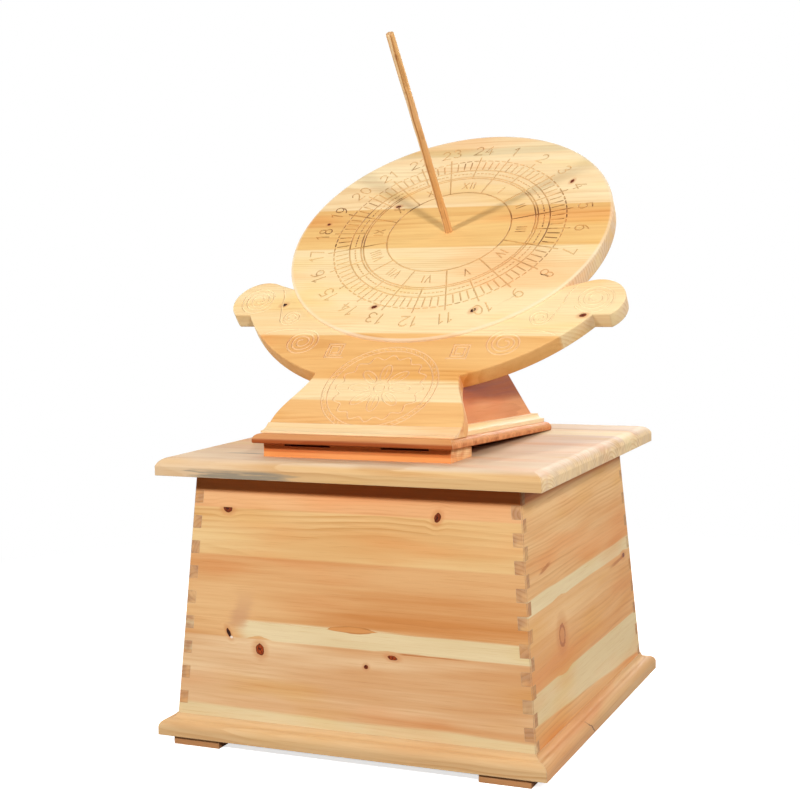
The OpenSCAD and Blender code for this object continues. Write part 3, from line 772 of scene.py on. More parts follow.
def top_marks(plank, wood):
    """A grey-blue stain on the front edge and beside the stand, and painted shade on the patch under the
    stand.
    """
    torn = plank.cloud(40, 3, layers=3, turn=20)
    on_edge = plank.v.rise(-264, -271) * plank.w.rise(-27, -22) * plank.w.rise(-11, -17)
    edge = on_edge * (plank.u + torn * 90).rise(-226, -196) * (plank.u + torn * 110).rise(-58, -96)
    beside = (plank.v + 197 + torn * 14).math("ABSOLUTE").rise(7, 1) * plank.u.rise(-214, -190)
    beside = beside * plank.u.rise(-140, -160)
    on_front = plank.v.rise(-262, -270) * plank.w.rise(0, -6) * (plank.u.rise(-250, 0) * 0.7 + 0.3)
    wood = plank.tint(wood, EDGE_TINT, on_front)
    plate_middle = (plate_high + plate_low) / 2 / MM
    plate_half = (plate_high - plate_low) / 2 / MM
    # painted shade: the top board is darker where the base plate hangs over it
    under = plank.u.math("ABSOLUTE").rise(plate_half.x - 4, plate_half.x - 22)
    under = under * (plank.v - plate_middle.y).math("ABSOLUTE").rise(plate_half.y - 10, plate_half.y - 26)
    under = under * plank.w.rise(-1, -0.2)
    wood = plank.tint(wood, PAINTED_SHADE_TINT, under * 0.45)
    return plank.mix(wood, STAIN, (edge * (torn * 2.4 + 0.95) + beside * 0.6).math("MINIMUM", 0.85))


top_face = Vector((0, 0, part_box("top_board")[1].z))
dress(fir("fir_top", top_face, ACROSS, BACKWARD, 41, (-300, 300), TOP_TONE, (-150, -36, 92, 204), TOP_SAP,
          (Knot(-70, 232, 4, 4, "brown"),), marks=top_marks, strength=0.75, lean=0.03), "top_board")

# %% Moulding and feet
MOULDING_TONE = Tone(paint(226, 188, 138), paint(208, 160, 108), paint(200, 146, 100))
CRACK = paint(96, 52, 30)


def right_crack(plank, wood):
    """A drying crack near the front of the right strip."""
    line = scratch(plank, (-77, 22), -0.75, plank.cloud(16, 3, turn=20) * 6, (2.0, 0.6))
    line = line * plank.u.rise(-92, -86) * plank.u.rise(-60, -70)
    return plank.mix(wood, CRACK, line * 0.9)


MOULDING_SIDES = (("front", -BACKWARD, ACROSS), ("back", BACKWARD, -ACROSS),
                  ("left", -ACROSS, -BACKWARD), ("right", ACROSS, BACKWARD))
for place, (side, direction, along) in enumerate(MOULDING_SIDES):
    name = "base_moulding_" + side
    dress(fir("fir_moulding_" + side, below(name, direction), along, UP, 51 + place, (-10, 60), MOULDING_TONE,
              strength=0.9, marks=right_crack if side == "right" else None, lean=0.02, gaps=(3, 5)), name)

FEET_TONE = Tone(paint(212, 158, 108), paint(184, 130, 84), paint(154, 100, 60))
feet = ["foot_front_left", "foot_front_right", "foot_back_left", "foot_back_right"]
dress(fir("fir_feet", Vector((0, 0, 0.006)), ACROSS, BACKWARD, 61, (-300, 300), FEET_TONE, lean=0.03), *feet)

# %% [markdown]
# ## The stand
# The stand leans back by the height of its riser, so its boards are ruled along the stand's own directions.
# They follow from the dial: the gnomon's slide gives the dial's facing, and the dial is set 41 degrees to
# the base plate. The plate and the side panels are orange heartwood; the cove strips are almost cream.
# Painted shade darkens what the plate hangs over, and a painted shadow of the dial lies high on the side
# panels.

# %% Directions of the dial and of the stand
DIAL_SLOPE = math.radians(41)
slide = next(joint for joint in frame["joints"] if joint["name"] == "gnomon_slide")
DIAL_OUT = Vector(slide["axis"]).normalized()
DIAL_UP = DIAL_OUT.cross(ACROSS)
STAND_BACK = DIAL_UP * math.cos(DIAL_SLOPE) - DIAL_OUT * math.sin(DIAL_SLOPE)
STAND_UP = DIAL_UP * math.sin(DIAL_SLOPE) + DIAL_OUT * math.cos(DIAL_SLOPE)
print("the stand leans back", round(math.degrees(math.asin(STAND_UP.y)), 2), "degrees")

# %% Riser, base plate and coves
RISER_TONE = Tone(paint(234, 160, 96), paint(218, 136, 74), paint(240, 200, 150))
riser_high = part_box("riser_batten")[1]


def dusty_top(plank, wood):
    """Painted shade under the overhang of the plate."""
    height = riser_high.z / MM
    upper = plank.w.rise(height - 14, height - 11)
    return plank.tint(wood, PAINTED_SHADE_TINT, upper * 0.6)


def dusty_under(plank, wood):
    """Painted shade on the plate's underside."""
    under = plank.w.rise(-16, -20)
    return plank.tint(wood, PAINTED_SHADE_TINT, under)


dress(fir("fir_riser", below("riser_batten", -BACKWARD), ACROSS, STAND_BACK, 71, (-60, 60), RISER_TONE,
          strength=0.7, gaps=(3, 5), marks=dusty_top), "riser_batten")

plate_top = Vector((0, 0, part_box("base_plate")[1].z))
PLATE_TONE = Tone(paint(220, 160, 106), paint(200, 132, 80), paint(222, 156, 104))
dress(fir("fir_plate", plate_top, ACROSS, STAND_BACK, 73, (-400, 400), PLATE_TONE, (-180, -60, 60, 180),
          strength=0.8, marks=dusty_under), "base_plate")

COVE_TONE = Tone(paint(248, 222, 178), paint(234, 198, 146), paint(240, 206, 164))
COVE_SIDES = (("front", -BACKWARD, ACROSS), ("back", BACKWARD, -ACROSS),
              ("left", -ACROSS, -STAND_BACK), ("right", ACROSS, STAND_BACK))
for place, (side, direction, along) in enumerate(COVE_SIDES):
    name = "cove_strip_" + side
    dress(fir("fir_cove_" + side, below(name, direction), along, STAND_UP, 81 + place, (350, 500), COVE_TONE,
              strength=0.6, gaps=(2.5, 4)), name)

# %% Side panels and back panel
PANEL_TONE = Tone(paint(230, 168, 116), paint(212, 138, 84), paint(206, 140, 94))
PANEL_REACH = (380, 700)
DIAL_SHADOW_TINT = paint(200, 162, 120)
DIAL_SHADOW_FROM = 450
DIAL_SHADOW_TO = 468


def unfaded(plank, wood):
    """Painted shadow: high up under the dial the panels are painted a deeper brown, where the dial board
    shades them.
    """
    share = (plank.v + plank.cloud(90, 20, turn=25) * 14).rise(DIAL_SHADOW_FROM, DIAL_SHADOW_TO)
    return plank.tint(wood, DIAL_SHADOW_TINT, share)


for place, (side, direction) in enumerate((("left", -ACROSS), ("right", ACROSS))):
    name = "side_panel_" + side
    dress(fir("fir_side_panel_" + side, below(name, direction), STAND_BACK, STAND_UP, 91 + place, PANEL_REACH,
              PANEL_TONE, (470, 560), strength=0.7, marks=unfaded), name)
dress(fir("fir_back_panel", below("back_panel", BACKWARD), -ACROSS, STAND_UP, 95, PANEL_REACH, PANEL_TONE,
          (486, 590), (Sap(low=(486, 0), high=(512, 0.01)),), (Knot(40, 560, 6, 5, "brown"),), strength=0.8),
      "back_panel")

# %% [markdown]
# ## The dial board
# The dial, the cradle under it and the foot are one board, glued up from wide staves, with the dial raised
# four millimetres. The CAD piece has its outline, so this one is drawn again at the same size with what a
# router and sandpaper add: rounded edges and all the carving. It is drawn flat, in millimetres, with u
# across, v up the slope and w out of the dial's face, and laid in place at the end. A boolean union joins
# the dial to the cradle, and boolean cuts do the carving, as a round-nosed cutter would.

# %% Where the dial is
def extent(name, axis):
    """The lowest and the highest place of a CAD piece along an axis, in metres."""
    places = [vertex.co.dot(axis) for vertex in frame["nodes"][name].data.vertices]
    return min(places), max(places)


face_height = extent("dial_board", DIAL_OUT)[1]
dial_centre = ACROSS * (sum(extent("gnomon", ACROSS)) / 2) + DIAL_UP * (sum(extent("gnomon", DIAL_UP)) / 2)
dial_centre += DIAL_OUT * face_height
laid = Matrix((ACROSS * MM, DIAL_UP * MM, DIAL_OUT * MM)).transposed().to_4x4()
laid = Matrix.Translation(dial_centre) @ laid
print("dial centre in metres:", tuple(round(c, 4) for c in dial_centre))

# %% Sizes of the board
DIAL_R = 250
BOARD_BACK_W = -29
CRADLE_W = -4
DIAL_EDGE_R = 3.0
CRADLE_EDGE_R = 2.5
BOWL_DROP = 18
BOWL_R = 316
FOOT_HALF = 141
FLARE_END_V = -414.8
NECK_V = -307.8
NECK_HALF = 108.4
TOE_V = -435
HEAD_R = 42.97
HEAD_PLACE = (262.0, -156.2)
HEAD_FLAT = 33
INSIDE_DIAL = (150, -153)
BORE_R = 6.05
print("the cradle lies", -CRADLE_W, "mm below the dial's face")


# %% Outline of cradle, neck and foot
def arc(centre, radius, start, end, steps):
    """Points along an arc; angles in degrees."""
    turn = [math.radians(start + (end - start) * step / steps) for step in range(steps + 1)]
    return [(centre[0] + radius * math.cos(a), centre[1] + radius * math.sin(a)) for a in turn]


def hoop(centre, radius, sides):
    """Points all the way round a circle."""
    return arc(centre, radius, 0, 360 - 360 / sides, sides - 1)


def neck_at(v):
    """Half the width of the neck and foot at v: a smooth flare."""
    share = min(1, (NECK_V - v) / (NECK_V - FLARE_END_V))
    return NECK_HALF + (FOOT_HALF - NECK_HALF) * (1 - math.cos(math.pi * share)) / 2


def right_half():
    """The outline's right half, from below the foot up to inside the dial."""
    bowl = (0, -BOWL_DROP)
    head_low_v = HEAD_PLACE[1] - HEAD_FLAT
    neck_angle = -math.degrees(math.acos(NECK_HALF / BOWL_R))
    tip_angle = math.degrees(math.asin((head_low_v + BOWL_DROP) / BOWL_R))
    neck_top = bowl[1] + BOWL_R * math.sin(math.radians(neck_angle))
    steps = 24
    flare = [FLARE_END_V + (neck_top - 1 - FLARE_END_V) * step / steps for step in range(steps + 1)]
    points = [(FOOT_HALF, TOE_V - 60), *((neck_at(v), v) for v in flare)]
    points += arc(bowl, BOWL_R, neck_angle, tip_angle, 40)
    head_start = math.degrees(math.asin(-HEAD_FLAT / HEAD_R))
    points += arc(HEAD_PLACE, HEAD_R, head_start, 120, 36)
    return points + [INSIDE_DIAL]


cradle_outline = right_half()
cradle_outline += [(-u, v) for u, v in reversed(cradle_outline)]
print("cradle outline has", len(cradle_outline), "points")


# %% Solids from outlines
def inset(outline, distance):
    """A closed outline, drawn anticlockwise, moved inwards."""
    moved = []
    for before, here, after in zip(outline[-1:] + outline[:-1], outline, outline[1:] + outline[:1]):
        first = Vector((here[0] - before[0], here[1] - before[1])).normalized()
        second = Vector((after[0] - here[0], after[1] - here[1])).normalized()
        normal = Vector((-first.y - second.y, first.x + second.x)).normalized()
        share = max(0.3, normal.dot(Vector((-first.y, first.x))))
        moved.append((here[0] + normal.x * distance / share, here[1] + normal.y * distance / share))
    return moved


def skin(rings, name="solid"):
    """A closed mesh object through rings of equal length, with a flat face on the first and the last."""
    build = bmesh.new()
    loops = [[build.verts.new(point) for point in ring] for ring in rings]
    for low, high in zip(loops, loops[1:]):
        for index in range(len(low)):
            build.faces.new((low[index - 1], low[index], high[index], high[index - 1]))
    build.faces.new(reversed(loops[0]))
    build.faces.new(loops[-1])
    return settle(build, name)


def settle(build, name):
    """Turns a bmesh into an object, with its faces looking outwards."""
    bmesh.ops.recalc_face_normals(build, faces=build.faces)
    mesh = bpy.data.meshes.new(name)
    build.to_mesh(mesh)
    build.free()
    made = bpy.data.objects.new(name, mesh)
    bpy.context.scene.collection.objects.link(made)
    return made


def slab(outline, low_w, high_w, edge, name):
    """A board cut to an outline, with both its edges rounded."""
    steps = 5
    turns = [math.pi / 2 * step / steps for step in range(steps + 1)]
    profile = [(edge * (1 - math.sin(a)), low_w + edge * (1 - math.cos(a))) for a in turns]
    profile += [(edge * (1 - math.cos(a)), high_w - edge * (1 - math.sin(a))) for a in turns]
    return skin([[(u, v, w) for u, v in inset(outline, depth)] for depth, w in profile], name)


DIAL_SIDES = 288
dial_board = slab(hoop((0, 0), DIAL_R, DIAL_SIDES), BOARD_BACK_W, 0, DIAL_EDGE_R, "dial_board_carved")
cradle = slab(cradle_outline, BOARD_BACK_W, CRADLE_W, CRADLE_EDGE_R, "cradle")
print("dial faces:", len(dial_board.data.polygons), "cradle faces:", len(cradle.data.polygons))


# %% Joining and cutting
def combine(work, tool, operation):
    """Joins or cuts work with tool, which is used up."""
    change = work.modifiers.new("change", "BOOLEAN")
    change.operation = operation
    change.solver = "MANIFOLD"
    change.object = tool
    bpy.context.view_layer.update()
    shaped = bpy.data.meshes.new_from_object(work.evaluated_get(bpy.context.evaluated_depsgraph_get()))
    work.modifiers.clear()
    work.data = shaped
    bpy.data.objects.remove(tool)


WASTE_BEFORE, WASTE_BEHIND, WASTE_DEEP, WASTE_HALF_WIDE = 120, 160, 120, 200
BORE_SIDES = 48
BORE_FROM_W, BORE_TO_W = -40, 10

combine(dial_board, cradle, "UNION")
stand_back = Vector((math.cos(DIAL_SLOPE), -math.sin(DIAL_SLOPE)))
stand_up = Vector((math.sin(DIAL_SLOPE), math.cos(DIAL_SLOPE)))
toe = Vector((TOE_V, CRADLE_W))
before_toe, behind_toe = toe - stand_back * WASTE_BEFORE, toe + stand_back * WASTE_BEHIND
waste = [before_toe, behind_toe, behind_toe - stand_up * WASTE_DEEP, before_toe - stand_up * WASTE_DEEP]
waste_ends = [[(u, v, w) for v, w in waste] for u in (-WASTE_HALF_WIDE, WASTE_HALF_WIDE)]
combine(dial_board, skin(waste_ends, "waste"), "DIFFERENCE")
bore_ends = [[(u, v, w) for u, v in hoop((0, 0), BORE_R, BORE_SIDES)] for w in (BORE_FROM_W, BORE_TO_W)]
combine(dial_board, skin(bore_ends, "bore"), "DIFFERENCE")
print("blank faces:", len(dial_board.data.polygons))

# %% [markdown]
# ## The carving
# Every carved line has the round floor that a ball-nosed cutter leaves, twice as wide as it is deep.
# The cutter is drawn as a tube whose centre runs along the face, with a dome at each end. A boolean wants
# tubes that don't pass through each other, so lines that cross are cut one after the other. The numbers are
# drawn with single strokes, as an engraver's alphabet is: plain hours 1 to 24 outside and I to XII inside.

# %% A ball-nosed cutter
CUT_R = 1.2
TUBE_SIDES = 10
DOME_TURNS = (0.35, 0.80, 1.20)


def tube(build, path, level, radius=CUT_R, closed=False):
    """Adds a tube along a flat path at height level."""
    spots = [Vector(point) for point in path]
    count = len(spots)
    loops = []
    for index, spot in enumerate(spots):
        before = spots[index - 1] if closed or index else spot
        after = spots[(index + 1) % count] if closed or index < count - 1 else spot
        first = (spot - before).normalized() if before != spot else (after - spot).normalized()
        second = (after - spot).normalized() if after != spot else first
        side = Vector((-first.y - second.y, first.x + second.x)).normalized()
        wide = radius / max(0.35, side.dot(Vector((-first.y, first.x))))
        loops.append((spot, side, wide, radius))
    if not closed:
        start_way, end_way = (spots[0] - spots[1]).normalized(), (spots[-1] - spots[-2]).normalized()
        ends = [[(spot + way * radius * math.sin(turn), side, wide * math.cos(turn), high * math.cos(turn))
                 for turn in DOME_TURNS] for (spot, side, wide, high), way in
                ((loops[0], start_way), (loops[-1], end_way))]
        loops = ends[0][::-1] + loops + ends[1]
    turns = [2 * math.pi * (step + 0.5) / TUBE_SIDES for step in range(TUBE_SIDES)]
    rings = [[build.verts.new((spot.x + side.x * wide * math.cos(turn),
                               spot.y + side.y * wide * math.cos(turn),
                               level + high * math.sin(turn))) for turn in turns]
             for spot, side, wide, high in loops]
    pairs = list(zip(rings, rings[1:])) + ([(rings[-1], rings[0])] if closed else [])
    for low, high in pairs:
        for index in range(TUBE_SIDES):
            build.faces.new((low[index - 1], low[index], high[index], high[index - 1]))
    if not closed:
        build.faces.new(reversed(rings[0]))
        build.faces.new(rings[-1])


def carve(paths, level, radius=CUT_R):
    """Cuts (path, closed) lines that don't cross into the board. The cut faces get the carved finish."""
    build = bmesh.new()
    for path, closed in paths:
        tube(build, path, level, radius, closed)
    for face in build.faces:
        face.material_index = 1
    tool = settle(build, "cutter")
    for material in dial_board.data.materials:
        tool.data.materials.append(material)
    combine(dial_board, tool, "DIFFERENCE")


def circle(centre, radius, sides):
    """A closed round path."""
    return hoop(centre, radius, sides), True


def spoke(angle, start, end):
    """A straight path outwards from the dial's centre; the angle is in degrees."""
    way = Vector((math.cos(math.radians(angle)), math.sin(math.radians(angle))))
    return [way * start, way * end], False


print("the cutter is", 2 * CUT_R, "mm across")

# %% [markdown]
# ### The two finishes of the dial board
# The staves run across the dial: peach at the top, orange across the middle and cream below. Under the dial
# they turn orange, pale and orange again down the neck, and the foot is pale. On the dial the carved floors
# show the same wood a little darker, because its pores are cut open and as painted shade, and scorched where
# the cutter ran hot, most of all across the orange stave. On the cradle and the neck they are painted a
# little paler than the oiled face, as a highlight on the relief.

# %% Dial board finishes
DIAL_STAVES = (
    (-520, paint(244, 214, 164), paint(232, 190, 132)),
    (-415, paint(238, 192, 128), paint(228, 172, 108)),
    (-369, paint(244, 218, 170), paint(232, 196, 140)),
    (-328, paint(240, 192, 126), paint(228, 172, 104)),
    (-235, paint(248, 222, 172), paint(238, 200, 142)),
    (-39, paint(242, 200, 130), paint(230, 178, 108)),
    (60, paint(253, 230, 184), paint(246, 212, 160)),
)
DIAL_REACH = (-520, 260)
DIAL_KNOTS = (
    Knot(-216, -167, 4.6, 3.2, "black", 25), Knot(-63, -177, 4.6, 3.0, "brown", 30),
    Knot(92, -185, 3.2, 5.0, "black", -30), Knot(253, -192, 5.0, 3.4, "brown", 20),
    Knot(167, 117, 2.6, 4.6, "brown", -20), Knot(-104, 66, 4.2, 3.0, "brown", 15),
    Knot(-210, 25, 2.8, 2.8, "brown"),
)
DIAL_SEED = 101
DIAL_GAPS = (5, 9)
DIAL_END = paint(236, 206, 170)
BOWL_END = paint(226, 164, 112)


def dial_tone(plank, share):
    """The dial's staves; its end grain is pale on the dial and the heads and orange on the bowl."""
    wood, end_tone = staved(DIAL_STAVES, DIAL_REACH, DIAL_END)(plank, share)
    return wood, plank.mix(end_tone, BOWL_END, plank.v.rise(-210, -240))


DIAL_SAP = (Sap(low=(198, 0.01), high=(216, 0.012), low_soft=3, high_soft=3),)
SCORCH = paint(110, 58, 26)
CRADLE_CUT_HIGHLIGHT = paint(252, 236, 204)
DIAL_CUT_PORES_AND_SHADE = paint(220, 196, 160)


def open_pores(plank, wood):
    """Carved floors: on the dial darker, for the open pores and as painted shade, and scorched here and
    there; on the cradle and the neck painted paler, as a highlight on the relief.
    """
    on_dial = plank.w.rise(-3.4, -2.6)
    wood = plank.mix(wood, CRADLE_CUT_HIGHLIGHT, (1 - on_dial) * 0.26)
    wood = plank.tint(wood, DIAL_CUT_PORES_AND_SHADE, on_dial * 0.6)
    hot = plank.cloud(60, 60, turn=22).rise(0.02, 0.22) * 0.4
    orange = plank.v.rise(-46, -30) * plank.v.rise(96, 60) * plank.cloud(26, 26, turn=23).rise(-0.10, 0.14)
    return plank.mix(wood, SCORCH, hot.math("MAXIMUM", orange * 0.7) * on_dial)


def worn_rim(plank, wood):
    """The dial's raised edge is painted pale, as a highlight along it."""
    from_centre = (plank.u * plank.u + plank.v * plank.v).math("SQRT")
    rim = from_centre.rise(DIAL_R - 5.5, DIAL_R - 2.5) * from_centre.rise(DIAL_R + 0.6, DIAL_R - 0.2)
    return plank.mix(wood, EDGE_WEAR_AND_HIGHLIGHT, rim * (plank.cloud(60, 60, turn=24) * 0.8 + 0.5) * plank.w.rise(-6, -4.2))


joints = tuple(stave[0] for stave in DIAL_STAVES[1:])
face_finish = fir("fir_dial_board", dial_centre, ACROSS, DIAL_UP, DIAL_SEED, DIAL_REACH, dial_tone, joints,
                  DIAL_SAP, DIAL_KNOTS, marks=worn_rim, strength=0.7, lean=0.02, edge_mm=0.6,
                  gaps=DIAL_GAPS, figure=1.25)
carved_finish = fir("fir_dial_carving", dial_centre, ACROSS, DIAL_UP, DIAL_SEED, DIAL_REACH, dial_tone,
                    joints, DIAL_SAP, strength=0.5, marks=open_pores, edge_paling=0.0, lean=0.02, edge_mm=0.3,
                    gaps=DIAL_GAPS, figure=1.25)
dial_board.data.materials.clear()
dial_board.data.materials.append(face_finish)
dial_board.data.materials.append(carved_finish)
for polygon in dial_board.data.polygons:
    polygon.material_index = 0
print("dial board finishes:", [material.name for material in dial_board.data.materials])

# %% Rings and hour lines
HOUR_STEP = 15
INNER_RING, BAND_RINGS, MARK_RING, TICK_RING, DASH_RING = 97, (134, 138), 147, 156, 181
LINE_END = 190
DASH_FROM, DASH_TO = 0.22, 0.78
carve([circle((0, 0), INNER_RING, 144), circle((0, 0), BAND_RINGS[0], 180),
       circle((0, 0), BAND_RINGS[1], 180), circle((0, 0), TICK_RING, 200)], 0)

TICK_STEP = HOUR_STEP / 4
ticks = [spoke(TICK_STEP * step, TICK_RING + 3, DASH_RING - 4) for step in range(96) if step % 4]
dashes = [(arc((0, 0), DASH_RING, TICK_STEP * (step + DASH_FROM), TICK_STEP * (step + DASH_TO), 4), False)
          for step in range(96)]
hours = [spoke(HOUR_STEP * step, INNER_RING if step % 2 else BAND_RINGS[0], LINE_END) for step in range(24)]
small_marks = [(arc((0, 0), MARK_RING, angle - 0.5, angle + 0.5, 2), False)
               for angle in (HOUR_STEP / 6 * step for step in range(144)) if round(angle / HOUR_STEP * 6) % 6]
carve(hours + ticks + dashes + small_marks, 0)
print("rings, ticks and dashes are cut:", len(dial_board.data.polygons), "faces")


# %% An engraver's alphabet
def oval(centre, wide, high, start=0, end=360, steps=20):
    """Part of an oval, in the letter's own box, which is 1 high; angles in degrees."""
    turn = [math.radians(start + (end - start) * step / steps) for step in range(steps + 1)]
    return [(centre[0] + wide * math.cos(a), centre[1] + high * math.sin(a)) for a in turn]


LETTER_WIDE = 0.60
LETTERS = {
    "0": [oval((0.30, 0.50), 0.28, 0.50, 0, 345)],
    "1": [[(0.14, 0.80), (0.36, 1.00), (0.36, 0.00)]],
    "2": [oval((0.30, 0.72), 0.27, 0.28, 165, -35, 12) + [(0.02, 0.00), (0.60, 0.00)]],
    "3": [oval((0.29, 0.76), 0.24, 0.24, 150, -80, 12), oval((0.29, 0.26), 0.28, 0.26, 80, -150, 12)],
    "4": [[(0.42, 1.00), (0.02, 0.32), (0.60, 0.32)], [(0.42, 0.62), (0.42, 0.00)]],
    "5": [[(0.54, 1.00), (0.12, 1.00), (0.08, 0.58)] + oval((0.28, 0.32), 0.29, 0.32, 120, -150, 12)],
    "6": [oval((0.30, 0.30), 0.28, 0.30, 0, 345), oval((0.62, 0.42), 0.60, 0.58, 108, 172, 8)],
    "7": [[(0.03, 1.00), (0.58, 1.00), (0.24, 0.00)]],
    "8": [oval((0.30, 0.76), 0.22, 0.24, 0, 345), oval((0.30, 0.26), 0.28, 0.26, 0, 345)],
    "9": [oval((0.30, 0.70), 0.28, 0.30, 0, 345), oval((-0.02, 0.58), 0.60, 0.58, -72, -8, 8)],
    "I": [[(0.30, 1.00), (0.30, 0.00)]],
    "V": [[(0.02, 1.00), (0.30, 0.00), (0.58, 1.00)]],
    "X": [[(0.02, 1.00), (0.58, 0.00)], [(0.02, 0.00), (0.58, 1.00)]],
}
ADVANCE = {"I": 0.36, "1": 0.62}


def number_strokes(word, angle, radius, height):
    """The first and the second strokes of a word whose top looks away from the dial's centre."""
    steps = [ADVANCE.get(letter, 0.84) for letter in word]
    left = -sum(steps) / 2
    turn = Matrix.Rotation(math.radians(angle - 90), 2)
    middle_place = Vector((math.cos(math.radians(angle)), math.sin(math.radians(angle)))) * radius
    layers = [[], []]
    for letter, step in zip(word, steps):
        for layer, stroke in enumerate(LETTERS[letter]):
            flat = [Vector((left + step / 2 - LETTER_WIDE / 2 + x, y - 0.5)) * height for x, y in stroke]
            layers[layer].append(([middle_place + turn @ spot for spot in flat], False))
        left += step
    return layers


def hour_angle(hour):
    """Noon is at the foot of the slope, and the hours go round clockwise as the shadow does."""
    return -90 - (hour - 12) * HOUR_STEP


HOUR_RADIUS, HOUR_HEIGHT = 209, 21
ROMAN_RADIUS, ROMAN_HEIGHT = 115, 15
NUMBER_CUT_R = 1.1
ROMAN = ("I", "II", "III", "IV", "V", "VI", "VII", "VIII", "IX", "X", "XI", "XII")
first_strokes, second_strokes = [], []
for hour in range(1, 25):
    first, second = number_strokes(str(hour), hour_angle(hour), HOUR_RADIUS, HOUR_HEIGHT)
    first_strokes += first
    second_strokes += second
for index, word in enumerate(ROMAN):
    first, second = number_strokes(word, hour_angle(2 * index + 2), ROMAN_RADIUS, ROMAN_HEIGHT)
    first_strokes += first
    second_strokes += second
carve(first_strokes, 0, NUMBER_CUT_R)
carve(second_strokes, 0, NUMBER_CUT_R)
print("numbers are cut:", len(dial_board.data.polygons), "faces")


# %% [markdown]
# ### Cloud scrolls and the neck's ornament
# The cradle is carved with cloud scrolls, an old ornament: a spiral in each head, and two more below it
# whose lines run on outwards. A square fret sits beside them, nearer the middle. They are drawn once for the
# right and mirrored. The neck has a round ornament: a rope border, a wavy ring and an eight-leaved flower.

# %% Scrolls
def spiral(centre, inner, outer, turns, end, way):
    """A path that winds outwards to radius outer at angle end; way is 1 anticlockwise and -1 clockwise."""
    steps = int(turns * 28)
    path = []
    for step in range(steps + 1):
        share = step / steps
        angle = math.radians(end - way * 360 * turns * (1 - share))
        radius = inner + (outer - inner) * share
        path.append((centre[0] + radius * math.cos(angle), centre[1] + radius * math.sin(angle)))
    return path


def bow(points, steps=6):
    """A smooth path through a few points."""
    spots = [Vector(point) for point in points]
    ends = [spots[0] * 2 - spots[1], *spots, spots[-1] * 2 - spots[-2]]
    path = []
    for a, b, c, d in zip(ends, ends[1:], ends[2:], ends[3:]):
        for step in range(steps):
            t = step / steps
            path.append(0.5 * (b * 2 + (c - a) * t + (a * 2 - b * 5 + c * 4 - d) * t ** 2
                               + (b * 3 - a - c * 3 + d) * t ** 3))
    return path + [spots[-1]]


SCROLL_CUT_R = 1.6
FRET_PLACE = (93, -268)
big_scroll = spiral((155, -250), 5, 27, 3, 90, -1) + bow([(170, -222.6), (196, -223), (222, -231)])
small_scroll = spiral((193, -196), 4, 17, 2.25, 0, 1)
small_scroll += bow([(213, -186), (219, -166), (222, -148), (231, -128)])
head_scroll = spiral((262, -156), 5, 30, 3.25, 215, -1)
fret = [(-14, -14), (14, -14), (14, 14), (-9, 14), (-9, -9), (9, -9), (9, 9), (-4, 9), (-4, -4), (4, -4)]
fret = [(FRET_PLACE[0] + x, FRET_PLACE[1] + y) for x, y in fret]
scroll_lines = [big_scroll, small_scroll, head_scroll, fret]
scroll_lines += [[(-point[0], point[1]) for point in line] for line in scroll_lines]
carve([(line, False) for line in scroll_lines], CRADLE_W, SCROLL_CUT_R)
print("scrolls and frets are cut:", len(dial_board.data.polygons), "faces")

# %% Round ornament on the neck
MEDALLION = (0, -343)
LEAVES = 8
WAVES, WAVE_R, WAVE_HIGH = 16, 62, 4
ROPE_INNER_R, ROPE_OUTER_R, ROPE_STEP = 78, 80.4, 6
VEIN_CUT_R = 0.8
RIM_RS, BUD_R = (83, 75), 8
LEAF_NEAR, LEAF_FAR, LEAF_WIDE = 14, 46, 15


def leaf(angle, near, far, wide):
    """A closed leaf shape that points outwards from the ornament's middle."""
    turn = Matrix.Rotation(math.radians(angle), 2)
    steps = 16
    outline = []
    for step in range(2 * steps):
        share = step / steps
        along = near + (far - near) * (1 - math.cos(math.pi * share)) / 2
        outline.append(Vector((along, wide / 2 * math.sin(math.pi * share))))
    return [turn @ spot + Vector(MEDALLION) for spot in outline], True


wave = [Vector((math.cos(a), math.sin(a))) * (WAVE_R + WAVE_HIGH * math.cos(WAVES * a)) + Vector(MEDALLION)
        for a in (math.radians(1.5 * step) for step in range(240))]
flower = [leaf(360 / LEAVES * step, LEAF_NEAR, LEAF_FAR, LEAF_WIDE) for step in range(LEAVES)]
veins = [([Vector(MEDALLION) + Matrix.Rotation(math.radians(360 / LEAVES * step), 2) @ Vector((along, 0))
           for along in (20, 38)], False) for step in range(LEAVES)]
rope = []
for step in range(360 // ROPE_STEP):
    way = math.radians(ROPE_STEP * step)
    slant = math.radians(ROPE_STEP * step + 2.2)
    rope.append(([Vector(MEDALLION) + Vector((math.cos(way), math.sin(way))) * ROPE_INNER_R,
                  Vector(MEDALLION) + Vector((math.cos(slant), math.sin(slant))) * ROPE_OUTER_R], False))
border = [circle(MEDALLION, radius, 120) for radius in RIM_RS]
carve(border + [(wave, True), circle(MEDALLION, BUD_R, 24)] + flower, CRADLE_W)
carve(rope + veins, CRADLE_W, VEIN_CUT_R)
print("carving is done:", len(dial_board.data.polygons), "faces")

# %% Lay the board in place
dial_board.data.transform(laid)
for polygon in dial_board.data.polygons:
    polygon.use_smooth = True
dial_board.data.set_sharp_from_angle(angle=math.radians(38))
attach(dial_board, "dial_stand")
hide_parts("dial_board")
print("dial board slots:", [material.name for material in dial_board.data.materials])

# %% [markdown]
# ## The gnomon and what is hidden
# The rod is whittled from a straight-grained stick. It is round where it sits in its bore, and above the dial
# a knife has left shallow flats, with nicks where twigs were. So it is drawn as rings whose radius a little
# noise cuts back, and its lines run its whole length. Inside the plinth and the stand are pieces that nobody
# sees until it is taken apart: floor board, glue blocks, cleats, dowels and screws. They get workshop
# finishes of their own: sawn offcuts and zinc-plated steel.

